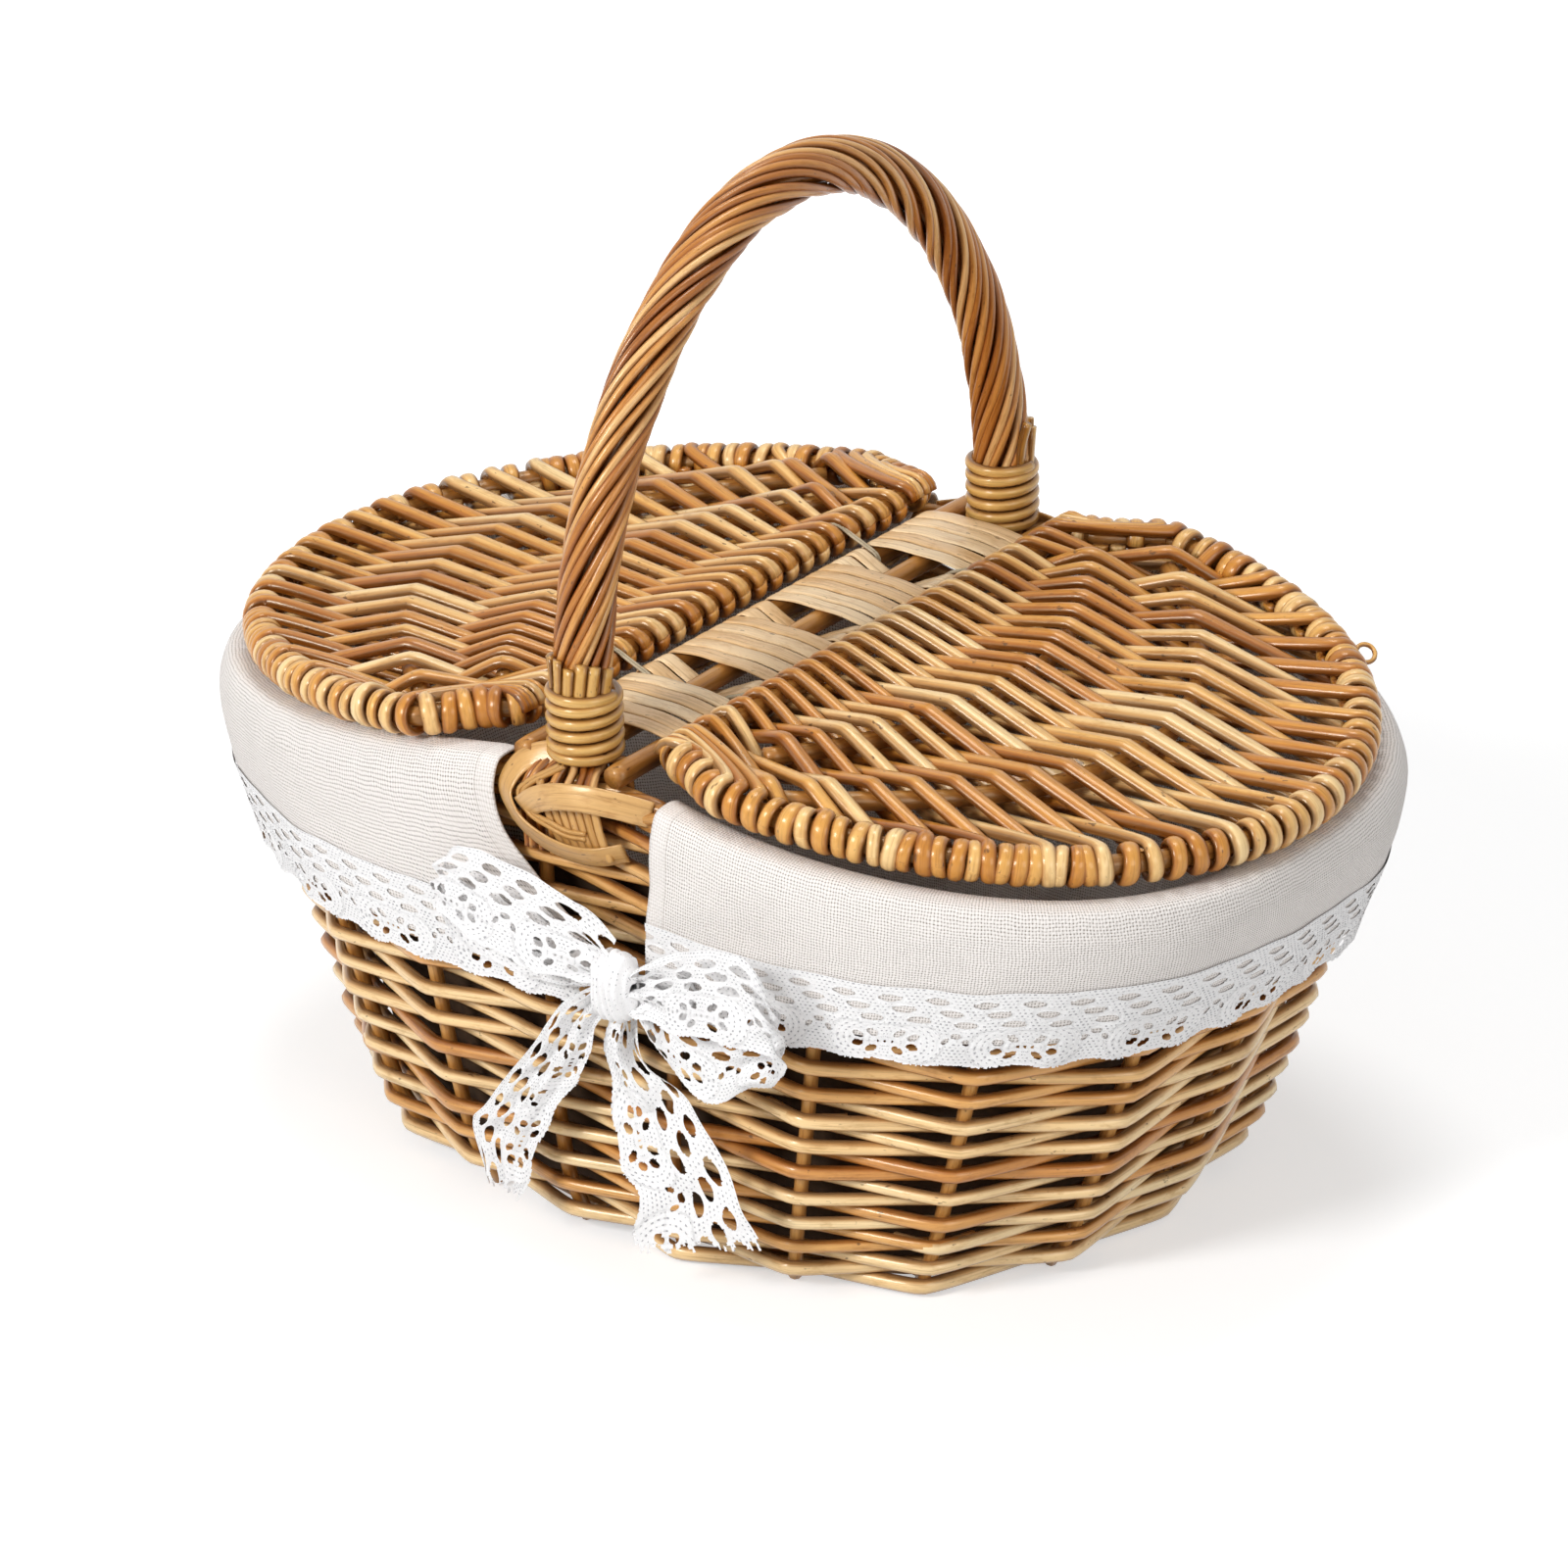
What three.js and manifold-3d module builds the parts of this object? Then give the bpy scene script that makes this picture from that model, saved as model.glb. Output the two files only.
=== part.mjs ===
// Lidded woven basket with a fixed handle, two hinged lids and a lace-edged liner.
// Millimetres, +Z up. The origin is the middle of the underside of the base.
// +X runs to the right lid, and -Y is the front, where the bow is tied.

import * as THREE from 'three';
import { mergeVertices } from 'three/addons/utils/BufferGeometryUtils.js';
import Module from 'manifold-3d';

const wasm = await Module();
wasm.setup();

// Clearances
const seatGap = 0.35; // between pieces that bear on each other
const hingeGap = 0.6; // round a rod that turns in its loop

// Wall: half lengths and half widths are measured to the line of stakes
const footHalfLength = 138;
const footHalfWidth = 109;
const rimHalfLength = 198;
const rimHalfWidth = 131;
const wallHeight = 157.7; // to the top of the weave beside the handle
const outlineExponent = 2.6;
const lengthShares = [[0, 0], [0.12, 0.24], [0.32, 0.45], [0.9, 1]];
const widthShares = [[0, 0], [0.12, 0.4], [0.32, 0.57], [0.9, 1]];
const waistShares = [[0, 0], [0.12, 0], [0.32, 0], [0.9, 1]];
const waistDepth = 12; // how far the handle draws the rim in
const waistSpread = 60;
const stakeCount = 19;
const firstStakeShare = 0.75; // of the spacing, from the front middle
const stakeRadius = 2.5;
const weaverHalfDepth = 2.4;
const weaverHalfHeight = 2.2;
const weaverTurns = 28;
const firstRowHeight = 3.7;
const stakeFootHeight = 2.6;
const borderRadius = 5.8;
const borderGrooveShare = 0.74;
const borderStepsPerStake = 2;
const borderTwists = 4;

// Base
const baseThickness = 6;
const baseRipple = 1.1;
const baseKickUp = 1.5;
const baseFlatShare = 0.86;
const baseRings = 8;

// Bridge between the lids
const bridgeRodRadius = 4;
const bridgeRodSpacing = 37;
const bridgeRodOverhang = 5;
const centreRodRadius = 3.5;
const centreRodRise = 1.5;
const skeinHalfThickness = 0.6;
const bridgeEndGap = 1.9;
const underSkeinSpan = 14.6;
const skeinSpacing = 0.8;
const skeinArch = 0.3;

// Handle
const handleFootInset = 4.6; // from the line of the rim to the axis of a handle foot
const handleRise = 141;
const handleSpring = 198; // height where the arch leaves the straight feet
const archExponent = 1.94;
const handleCoreRadius = 4;
const handleRodRadius = 2.3;
const handleRodCount = 8;
const handleRodOrbit = 7.2;
const handleTwistTurns = 3;
const archSteps = 26;
const footRodDrop = 20; // below the middle of the border
const footRodSplay = 5;
const footRodStandOff = 1.8;
const footShoulder = 4;
const footWrapTop = 200;
const footWrapTurns = 5;
const footWrapPitch = 4.3;
const footWrapHalfDepth = 1.4;
const footWrapHalfHeight = 1.9;
const footWrapStepsPerTurn = 12;
const lashingHalfWidth = 4.5;
const lashingReach = 17;
const lashingDrop = 18;

// Lids
const hingeSpacing = 64.6; // between the two hinge rods
const lidHalfHinge = 112;
const lidReach = 168; // from the hinge rod to the tip of the rim rod
const lidWideStation = 28; // distance from the hinge to the widest place
const lidRearHalfWidth = 128;
const lidFrontHalfWidth = 120;
const lidSlope = Math.tan(THREE.MathUtils.degToRad(6.4));
const lidRodRadius = 3.4;
const lidWrapHalfDepth = 1.2;
const lidWrapHalfWidth = 1.4;
const lidRimSteps = 18;
const wrapPitch = 8.79;
const wrapCount = 24;
const wrapStrandSpacing = 3.4;
const lidFanShare = 1.19;
const lidRibRadius = 3.2;
const ribSlack = 0.3; // extra room where a weaver bends over a rib
const innerRibMiddle = 52;
const innerRibHalfSpan = 90;
const innerRibMeetsHinge = 118; // where the line of the rib would cross the hinge
const outerRibMiddle = 108;
const outerRibEndInset = 10; // from the rim at the front
const outerRibMeetsHinge = 139;
const ribSteps = 8;
const lidSeat = 1.6; // between the closed lid and the cloth below it
const loopCordRadius = 0.9;
const loopPlace = 7; // counted in wraps from the middle of the hinge

// Liner
const clothHalfThickness = 0.6;
const clothGap = 0.8; // between the cloth and the wall
const linerTop = 136;
const linerRowShares = [0, 0.16, 0.42, 0.72, 1];
const slotToRightFlap = 40; // at the rim, from the middle of the front
const slotToLeftFlap = 25;
const flapHem = 121.5;
const flapHemRise = 10.5; // how much higher the hem runs beside the bow
const flapHemRiseShare = 0.6; // part of the flap over which the hem comes down
const flapPull = 36; // how far one corner is drawn across the slot by the bow
const flapPush = -2; // the same for the other corner, which hangs back
const flapPullShare = 0.17; // part of the flap that a pulled corner draws with it
const flapBulge = 3;
const flapTopShare = 0.6; // part of the wall's depth over which the fold is level
const flapRimShare = 0.3; // part of the bulge reached at the border
const flapBellyShare = 0.45; // how far down the bulge is widest
const flapHemShare = 0.7; // part of the bulge left at the hem
const flapFold = 1.1;
const flapFolds = 9;
const flapColumns = 25;
const laceWidth = 28;
const laceHalfThickness = 0.5;
const laceScallop = 1.6;
const laceColumns = 33;

// Bow
const ribbonHalfThickness = 0.7;
const knotHalfWidth = 8;
const knotHalfDepth = 7.5;
const knotHalfHeight = 11;
const knotX = 32;
const knotHeight = 113;
const bowStrapHalfLength = 42;
const bowStrapHalfWidth = 6;
const loopPuff = 6;
const leftLoopTurn = 2.96; // turns of loops and tails are in radians from +X
const leftLoopLength = 82;
const leftLoopHalfWidth = 13;
const rightLoopTurn = -0.16;
const rightLoopLength = 66;
const rightLoopHalfWidth = 18;
const leftTailTurn = -2.11;
const leftTailLength = 108;
const leftTailHalfWidth = 11;
const rightTailTurn = -1.29;
const rightTailLength = 99;
const rightTailHalfWidth = 15;
const tailFallBack = 3;
const tailWave = 1.4;
const tailWaveCount = 1.5;
const tailSteps = 4;
const loopSteps = 10;

// Sections as shares of a half depth and a half width
const bandShares = [[1, 1], [-1, 1], [-1, -1], [1, -1]];
const wedgeShares = [[1, 0], [-0.7, 1], [-0.7, -1]];

// Sizes that follow from the ones above
const borderRise = weaverHalfHeight + seatGap + borderRadius;
const flapRise = borderRadius + clothGap + clothHalfThickness;
const lidWrapOrbit = (lidRodRadius + seatGap + lidWrapHalfDepth) / Math.cos(Math.PI / 6);
const lidThickness = lidWrapOrbit + lidWrapHalfDepth;
const hingeX = hingeSpacing / 2;
const hingeHeight = wallHeight + borderRise + flapRise + clothHalfThickness + lidSeat + lidThickness;
const loopY = loopPlace * wrapPitch;
const bridgeRodX = bridgeRodSpacing / 2;
const rimFrontY = rimHalfWidth - waistDepth;
const handleHalfSpan = rimFrontY - handleFootInset;
const footWrapOrbit = (handleRodOrbit + handleRodRadius + seatGap + footWrapHalfDepth)
  / Math.cos(Math.PI / footWrapStepsPerTurn);
const bridgeHalfSpan = handleHalfSpan - footWrapOrbit - footWrapHalfDepth - bridgeEndGap;
const innerRib = { middle: innerRibMiddle, halfSpan: innerRibHalfSpan, meetsHinge: innerRibMeetsHinge };
const outerRib = {
  middle: outerRibMiddle,
  halfSpan: lidFrontHalfWidth - outerRibEndInset,
  meetsHinge: outerRibMeetsHinge,
};
const bridgeRodHeight = wallHeight + borderRise + borderRadius + seatGap + bridgeRodRadius;
const weaverHeightAt = (x) => wallHeight - lidSlope * Math.max(Math.abs(x) - hingeX, 0);

// Materials
const colours = {
  willow: 0xd9ad74,
  willowDark: 0xb4743c,
  skein: 0xdcb888,
  linen: 0xe9e2d8,
  lace: 0xf6f5f3,
};
const materialFor = (color, roughness) => new THREE.MeshStandardMaterial({
  color,
  roughness,
  metalness: 0,
});

// Tubes and bands swept along points, with the depth of the section along a given normal
function regularShares(sides) {
  return Array.from({ length: sides }, (_, i) => {
    const turn = (2 * Math.PI * i) / sides;
    return [Math.cos(turn), Math.sin(turn)];
  });
}

function skin(rings, closed) {
  const sides = rings[0].length;
  const positions = rings.flat().flatMap((p) => [p.x, p.y, p.z]);
  const indices = [];
  const spans = closed ? rings.length : rings.length - 1;
  for (let i = 0; i < spans; i += 1) {
    const next = (i + 1) % rings.length;
    for (let j = 0; j < sides; j += 1) {
      const k = (j + 1) % sides;
      indices.push(i * sides + j, next * sides + j, next * sides + k);
      indices.push(i * sides + j, next * sides + k, i * sides + k);
    }
  }
  if (!closed) {
    const last = (rings.length - 1) * sides;
    for (let j = 1; j < sides - 1; j += 1) {
      const near = Math.floor(j / 2);
      const far = sides - 1 - near;
      const [p, q, r] = j % 2 === 1 ? [near, near + 1, far] : [near, far, far + 1];
      indices.push(p, q, r);
      indices.push(last + p, last + r, last + q);
    }
  }
  return facingOut(positions, indices);
}

function facingOut(positions, indices) {
  let volume = 0;
  const corner = (i) => new THREE.Vector3().fromArray(positions, 3 * i);
  for (let i = 0; i < indices.length; i += 3) {
    volume += corner(indices[i]).dot(corner(indices[i + 1]).cross(corner(indices[i + 2])));
  }
  const faces = volume > 0 ? indices : indices.slice().reverse();
  const geometry = new THREE.BufferGeometry();
  geometry.setAttribute('position', new THREE.Float32BufferAttribute(positions, 3));
  geometry.setIndex(faces);
  return geometry;
}

function sweep(points, normals, shares, halfDepth, halfWidth, closed = false) {
  const count = points.length;
  const rings = points.map((point, i) => {
    const before = points[closed ? (i + count - 1) % count : Math.max(i - 1, 0)];
    const after = points[closed ? (i + 1) % count : Math.min(i + 1, count - 1)];
    const along = after.clone().sub(before).normalize();
    const across = along.clone().cross(normals[i]).normalize();
    const depth = across.clone().cross(along).normalize();
    return shares.map(([d, w]) => point.clone()
      .addScaledVector(depth, d * halfDepth)
      .addScaledVector(across, w * halfWidth));
  });
  return skin(rings, closed);
}

function toSolid(geometry) {
  const bare = geometry.clone();
  bare.deleteAttribute('normal');
  bare.deleteAttribute('uv');
  const merged = mergeVertices(bare);
  return new wasm.Manifold(new wasm.Mesh({
    numProp: 3,
    vertProperties: new Float32Array(merged.attributes.position.array),
    triVerts: new Uint32Array(merged.index.array),
  }));
}

function fromSolid(solid) {
  const mesh = solid.getMesh();
  const geometry = new THREE.BufferGeometry();
  geometry.setAttribute('position', new THREE.Float32BufferAttribute(mesh.vertProperties, 3));
  geometry.setIndex(Array.from(mesh.triVerts));
  return geometry;
}

function joined(geometries) {
  return fromSolid(geometries.map(toSolid).reduce((whole, piece) => whole.add(piece)));
}

const vec = (x, y, z) => new THREE.Vector3(x, y, z);
const up = vec(0, 0, 1);

function shareBetween(table, share) {
  const last = table.length - 1;
  if (share >= table[last][0]) return table[last][1];
  const i = Math.max(table.findIndex(([at]) => at > share) - 1, 0);
  const [x0, y0] = table[i];
  const [x1, y1] = table[i + 1];
  return y0 + ((y1 - y0) * (share - x0)) / (x1 - x0);
}

// Outline of the wall at any height: half length, half width and how far the waist is drawn in
function outlineAt(height) {
  const share = height / wallHeight;
  return {
    halfLength: footHalfLength + (rimHalfLength - footHalfLength) * shareBetween(lengthShares, share),
    halfWidth: footHalfWidth + (rimHalfWidth - footHalfWidth) * shareBetween(widthShares, share),
    waist: waistDepth * shareBetween(waistShares, share),
  };
}

const waistAtX = (x, depth) => depth * Math.exp(-((x / waistSpread) ** 2));

function wallAt(angle, height, offset = 0) {
  const { halfLength, halfWidth, waist } = outlineAt(height);
  const c = Math.cos(angle);
  const s = Math.sin(angle);
  const power = 2 / outlineExponent;
  const x = halfLength * Math.sign(c) * Math.abs(c) ** power;
  const y = halfWidth * Math.sign(s) * Math.abs(s) ** power;
  const slopeX = (Math.sign(c) * Math.abs(x / halfLength) ** (outlineExponent - 1)) / halfLength;
  const slopeY = (Math.sign(s) * Math.abs(y / halfWidth) ** (outlineExponent - 1)) / halfWidth;
  const normal = vec(slopeX, slopeY, 0).normalize();
  const point = vec(x, y - Math.sign(s) * waistAtX(x, waist), height).addScaledVector(normal, offset);
  return { point, normal };
}

// Distance of the line of stakes from the middle plane, at a place along the wall
function wallReach(x, height) {
  const { halfLength, halfWidth, waist } = outlineAt(height);
  const plain = halfWidth * (1 - (Math.abs(x) / halfLength) ** outlineExponent) ** (1 / outlineExponent);
  return plain - waistAtX(x, waist);
}

// Angle of the place that lies a share of the rim's length round from the front middle
const rimSamples = 4000;
const sampleAngle = (i) => -Math.PI / 2 + (2 * Math.PI * i) / rimSamples;
const rimPlaces = Array.from({ length: rimSamples + 1 }, (_, i) => wallAt(sampleAngle(i), wallHeight).point);
const rimRun = [0];
for (let i = 1; i <= rimSamples; i += 1) {
  rimRun.push(rimRun[i - 1] + rimPlaces[i].distanceTo(rimPlaces[i - 1]));
}
const rimLength = rimRun[rimSamples];

function angleAt(share) {
  const turns = Math.floor(share);
  const target = (share - turns) * rimLength;
  const i = Math.max(rimRun.findIndex((run) => run >= target), 1);
  const part = (target - rimRun[i - 1]) / (rimRun[i] - rimRun[i - 1]);
  return sampleAngle(i - 1 + part) + 2 * Math.PI * turns;
}

const stakeAngles = Array.from({ length: stakeCount }, (_, k) => angleAt((k + firstStakeShare) / stakeCount));
const weaveTop = (angle) => weaverHeightAt(wallAt(angle, wallHeight).point.x);

// How far the weaver's centre line stands off a stake: more where the wall turns or leans sharply
function weaverOffset(k, height, side) {
  const at = (i, z) => wallAt(stakeAngles[(i + stakeCount) % stakeCount], z).point;
  const here = at(k, height);
  const before = here.clone().sub(at(k - 1, height));
  const after = at(k + 1, height).sub(here);
  const above = at(k, height + weaverHalfHeight).sub(here);
  const lean = Math.hypot(above.x, above.y) / weaverHalfHeight;
  const clear = stakeRadius * Math.hypot(1, lean) + weaverHalfHeight * lean + seatGap;
  const slope = Math.atan((2 * (clear + weaverHalfDepth)) / after.length());
  const bend = Math.max(slope + (side * before.angleTo(after)) / 2, 0);
  return side * (weaverHalfDepth + clear / Math.cos(bend));
}

// Distance from the line of stakes to the face of the weave, outside or inside
const weaveReach = (side, height) => weaverHalfDepth
  + Math.max(...stakeAngles.map((_, k) => Math.abs(weaverOffset(k, Math.max(height, firstRowHeight), side))));

// Wall weave: one weaver that runs in front of one stake and behind the next, turn after turn
function wallWeave() {
  const points = [];
  const normals = [];
  const steps = weaverTurns * stakeCount;
  for (let i = 0; i <= steps; i += 1) {
    const angle = stakeAngles[i % stakeCount];
    const height = firstRowHeight + ((weaveTop(angle) - firstRowHeight) * i) / steps;
    const side = i % 2 === 0 ? 1 : -1;
    const { point, normal } = wallAt(angle, height, weaverOffset(i % stakeCount, height, side));
    points.push(point);
    normals.push(normal);
  }
  return sweep(points, normals, wedgeShares, weaverHalfDepth, weaverHalfHeight);
}

// Stakes and the border that their ends are laid into
function stake(angle) {
  const top = weaveTop(angle) + borderRise;
  const bends = lengthShares.map(([share]) => share * wallHeight);
  const heights = [stakeFootHeight, ...bends.filter((height) => height > stakeFootHeight && height < top), top];
  const points = heights.map((height) => wallAt(angle, height).point);
  const { normal } = wallAt(angle, 0);
  return sweep(points, points.map(() => normal), regularShares(4), stakeRadius, stakeRadius);
}

function border() {
  const count = stakeCount * borderStepsPerStake;
  const rings = Array.from({ length: count }, (_, i) => {
    const angle = angleAt((i + borderStepsPerStake / 2) / count);
    const { point, normal } = wallAt(angle, weaveTop(angle) + borderRise);
    const twist = (2 * Math.PI * borderTwists * i) / count;
    return regularShares(6).map((_, j) => {
      const turn = twist + (Math.PI * j) / 3;
      const radius = borderRadius * (j % 2 === 0 ? 1 : borderGrooveShare);
      return point.clone()
        .addScaledVector(normal, radius * Math.cos(turn))
        .addScaledVector(up, radius * Math.sin(turn));
    });
  });
  return skin(rings, true);
}

const stakesAndBorder = () => joined([border(), ...stakeAngles.map(stake)]);

// Base: an oval mat of rings of weave, flat where it stands and pushed up in the middle
function base() {
  const inset = -(weaveReach(-1, firstRowHeight) + seatGap);
  const edge = stakeAngles.map((angle) => wallAt(angle, 0, inset).point);
  const ringAt = (share, heightOf) => edge.map((p, i) => vec(p.x * share, p.y * share, heightOf(i)));
  const rings = [];
  for (let r = 1; r <= baseRings; r += 1) {
    const share = (r / baseRings) * baseFlatShare;
    rings.push(ringAt(share, (i) => baseKickUp + ((i + r) % 2) * baseRipple * Math.min(r - 1, 1)));
  }
  rings.push(ringAt(baseFlatShare + 0.5 / baseRings, () => 0));
  rings.push(ringAt(1, () => 0));
  rings.push(ringAt(1, () => baseThickness - baseRipple));
  for (let r = baseRings; r >= 1; r -= 1) {
    const share = (r / baseRings) * (baseFlatShare + 1) * 0.5;
    rings.push(ringAt(share, (i) => baseThickness - ((i + r) % 2) * baseRipple * Math.min(r - 1, 1)));
  }
  return skin(rings, false);
}

// Handle: an arch of twisted rods round a core, with straight feet
function archPoint(share) {
  const turn = Math.PI * share;
  const power = 2 / archExponent;
  const y = -handleHalfSpan * Math.sign(Math.cos(turn)) * Math.abs(Math.cos(turn)) ** power;
  return vec(0, y, handleSpring + handleRise * Math.sin(turn) ** power);
}

function archFrames(count) {
  const curve = [];
  const samples = 600;
  const fine = Array.from({ length: samples + 1 }, (_, i) => archPoint(i / samples));
  const lengths = [0];
  for (let i = 1; i <= samples; i += 1) lengths.push(lengths[i - 1] + fine[i].distanceTo(fine[i - 1]));
  for (let k = 0; k <= count; k += 1) {
    const target = (lengths[samples] * k) / count;
    const i = Math.min(Math.max(lengths.findIndex((length) => length >= target), 0), samples);
    const along = fine[Math.min(i + 1, samples)].clone().sub(fine[Math.max(i - 1, 0)]).normalize();
    const side = vec(1, 0, 0);
    curve.push({ point: fine[i], along, side, out: side.clone().cross(along), share: k / count });
  }
  return curve;
}

const borderMiddleHeight = wallHeight + borderRise;
const borderTopHeight = borderMiddleHeight + borderRadius;

function handleCore() {
  const foot = vec(0, 0, borderTopHeight + seatGap);
  const frames = archFrames(archSteps);
  const points = frames.map((frame) => frame.point);
  points.unshift(vec(0, -handleHalfSpan, foot.z));
  points.push(vec(0, handleHalfSpan, foot.z));
  return sweep(points, points.map(() => vec(1, 0, 0)), regularShares(6), handleCoreRadius, handleCoreRadius);
}

const footWrapBottom = footWrapTop - footWrapTurns * footWrapPitch - footWrapHalfHeight;

// The end of a handle rod straddles the border: the front rods pass outside it, the rear ones inside
function rodFoot(turn, sign) {
  const across = Math.sin(turn) * handleRodOrbit;
  const outward = Math.cos(turn) * handleRodOrbit;
  const outside = Math.sign(outward);
  const clear = borderRadius + seatGap + handleRodRadius + footRodStandOff;
  const spread = across * (1 + footRodSplay / handleRodOrbit);
  const low = rimFrontY + outside * clear;
  const shoulder = outside > 0 ? rimFrontY + footShoulder : handleHalfSpan - handleRodOrbit + footRodStandOff;
  const places = [
    [spread, low, borderMiddleHeight - footRodDrop],
    [spread, low, borderMiddleHeight + handleRodRadius],
    [(spread + across) / 2, shoulder, borderTopHeight + handleRodRadius + seatGap],
    [across, handleHalfSpan + outward, footWrapBottom - seatGap],
  ];
  return places.map(([x, y, z]) => vec(x, sign * y, z));
}

function handleRod(index) {
  const start = (2 * Math.PI * (index + 0.5)) / handleRodCount;
  const frames = archFrames(archSteps);
  const orbit = frames.map(({ point, side, out, share }) => {
    const turn = start + 2 * Math.PI * handleTwistTurns * share;
    return point.clone()
      .addScaledVector(out, handleRodOrbit * Math.cos(turn))
      .addScaledVector(side, handleRodOrbit * Math.sin(turn));
  });
  const front = rodFoot(start, -1);
  const rear = rodFoot(start + 2 * Math.PI * handleTwistTurns, 1).reverse();
  const points = [...front, ...orbit, ...rear];
  const centres = [...front.map(() => null), ...frames.map(({ point }) => point), ...rear.map(() => null)];
  const normals = points.map((point, i) => {
    if (centres[i]) return point.clone().sub(centres[i]).normalize();
    return vec(point.x, point.y - Math.sign(point.y) * handleHalfSpan, 0).normalize();
  });
  return sweep(points, normals, regularShares(4), handleRodRadius, handleRodRadius);
}

function footWrap(sign) {
  const steps = footWrapTurns * footWrapStepsPerTurn;
  const points = [];
  const normals = [];
  for (let i = 0; i <= steps; i += 1) {
    const turn = (2 * Math.PI * i) / footWrapStepsPerTurn;
    const normal = vec(Math.cos(turn), Math.sin(turn), 0);
    const height = footWrapTop - footWrapPitch * (footWrapTurns - i / footWrapStepsPerTurn);
    points.push(vec(0, sign * handleHalfSpan, height).addScaledVector(normal, footWrapOrbit));
    normals.push(normal);
  }
  return sweep(points, normals, wedgeShares, footWrapHalfDepth, footWrapHalfHeight);
}

// Lashing: two skeins crossed over the rods of a handle foot, from the shoulder of the border
function lashing(sign) {
  const rodFace = rimFrontY + borderRadius + 2 * seatGap + 2 * handleRodRadius + footRodStandOff;
  const skein = (side, layer) => {
    const face = rodFace + skeinHalfThickness + layer * 2 * skeinHalfThickness;
    const shoulder = (borderRadius + 2 * seatGap + skeinHalfThickness) * Math.SQRT1_2;
    const rimY = wallReach(lashingReach, borderMiddleHeight);
    const place = (x, y, z) => vec(side * x, sign * y, z);
    const points = [
      place(lashingReach, rimY + shoulder, borderMiddleHeight + shoulder),
      place(lashingReach, face, borderMiddleHeight),
      place(0, face, borderMiddleHeight - lashingDrop / 2),
      place(-lashingReach, face, borderMiddleHeight - lashingDrop),
    ];
    const normals = points.map((_, i) => (i < 1 ? vec(0, sign, 1) : vec(0, sign, 0)));
    return sweep(points, normals, bandShares, skeinHalfThickness, lashingHalfWidth);
  };
  return joined([skein(1, 0), skein(-1, 0.6)]);
}

// Bridge: two side rods and a centre rod with flat skeins woven across them
function bridgeRod(x, height, radius, halfLength) {
  const points = [vec(x, -halfLength, height), vec(x, halfLength, height)];
  return sweep(points, [up, up], regularShares(8), radius, radius);
}

function bridgeSkein(from, to, over) {
  const orbit = (bridgeRodRadius + seatGap + skeinHalfThickness) / Math.cos(Math.PI / 8);
  const middleClear = centreRodRadius + seatGap + skeinHalfThickness;
  const centreHeight = bridgeRodHeight + centreRodRise;
  const halfWidth = (to - from) / 2;
  const half = [-1, -0.5, 0, 0.5, 1].map((share) => {
    const turn = (share * Math.PI) / 2;
    return [bridgeRodX + orbit * Math.cos(turn), bridgeRodHeight + orbit * Math.sin(turn)];
  });
  const middle = over
    ? [
      [bridgeRodX / 2, centreHeight + middleClear + skeinArch / 2],
      [0, centreHeight + middleClear + skeinArch],
    ]
    : [[bridgeRodX / 2, bridgeRodHeight], [0, centreHeight - middleClear - skeinArch]];
  const right = [...half, middle[0]];
  const profile = [...right, middle[1], ...right.slice().reverse().map(([x, z]) => [-x, z])];
  const points = profile.map(([x, z]) => vec(x, from + halfWidth, z));
  const outward = profile.map(([x, z], i) => {
    if (i >= half.length && i < profile.length - half.length) return up;
    return vec(x - Math.sign(x) * bridgeRodX, 0, z - bridgeRodHeight).normalize();
  });
  return sweep(points, outward, bandShares, skeinHalfThickness, halfWidth);
}

function bridgeSpans() {
  const loopHalf = loopCordRadius + skeinSpacing;
  const edges = [
    [-bridgeHalfSpan, -loopY - loopHalf, true],
    [-loopY + loopHalf, -loopY + loopHalf + underSkeinSpan, false],
    [-loopY + loopHalf + underSkeinSpan + skeinSpacing, -underSkeinSpan / 2 - skeinSpacing, true],
    [-underSkeinSpan / 2, underSkeinSpan / 2, false],
  ];
  const others = edges.slice(0, -1).reverse().map(([from, to, over]) => [-to, -from, over]);
  return [...edges, ...others];
}

// Hinge loop: a cord tied round a side rod of the bridge and the hinge rod of a lid
function hingeLoop(side, y) {
  const near = { x: bridgeRodX, z: bridgeRodHeight, r: bridgeRodRadius };
  const far = { x: hingeX, z: hingeHeight, r: lidRodRadius };
  const tilt = Math.atan2(far.z - near.z, far.x - near.x);
  const points = [];
  const normals = [];
  [[near, Math.PI / 2], [far, -Math.PI / 2]].forEach(([rod, from]) => {
    const orbit = (rod.r + hingeGap + loopCordRadius) / Math.cos(Math.PI / 8);
    for (let i = 0; i <= 4; i += 1) {
      const turn = tilt + from + (i * Math.PI) / 4;
      const normal = vec(side * Math.cos(turn), 0, Math.sin(turn));
      points.push(vec(side * rod.x, y, rod.z).addScaledVector(normal, orbit));
      normals.push(normal);
    }
  });
  return sweep(points, normals, regularShares(4), loopCordRadius, loopCordRadius, true);
}

// Lid: made flat in its own frame, u away from the hinge and v along it, then tilted
const halfWidthOn = (v) => (v > 0 ? lidRearHalfWidth : lidFrontHalfWidth);

function rimPoint(turn) {
  const v = Math.sin(turn);
  return [lidWideStation + (lidReach - lidWideStation) * Math.cos(turn), halfWidthOn(v) * v];
}

function rimReach(v) {
  const share = Math.min(Math.abs(v) / halfWidthOn(v), 1);
  return lidWideStation + (lidReach - lidWideStation) * Math.sqrt(1 - share ** 2);
}

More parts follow.
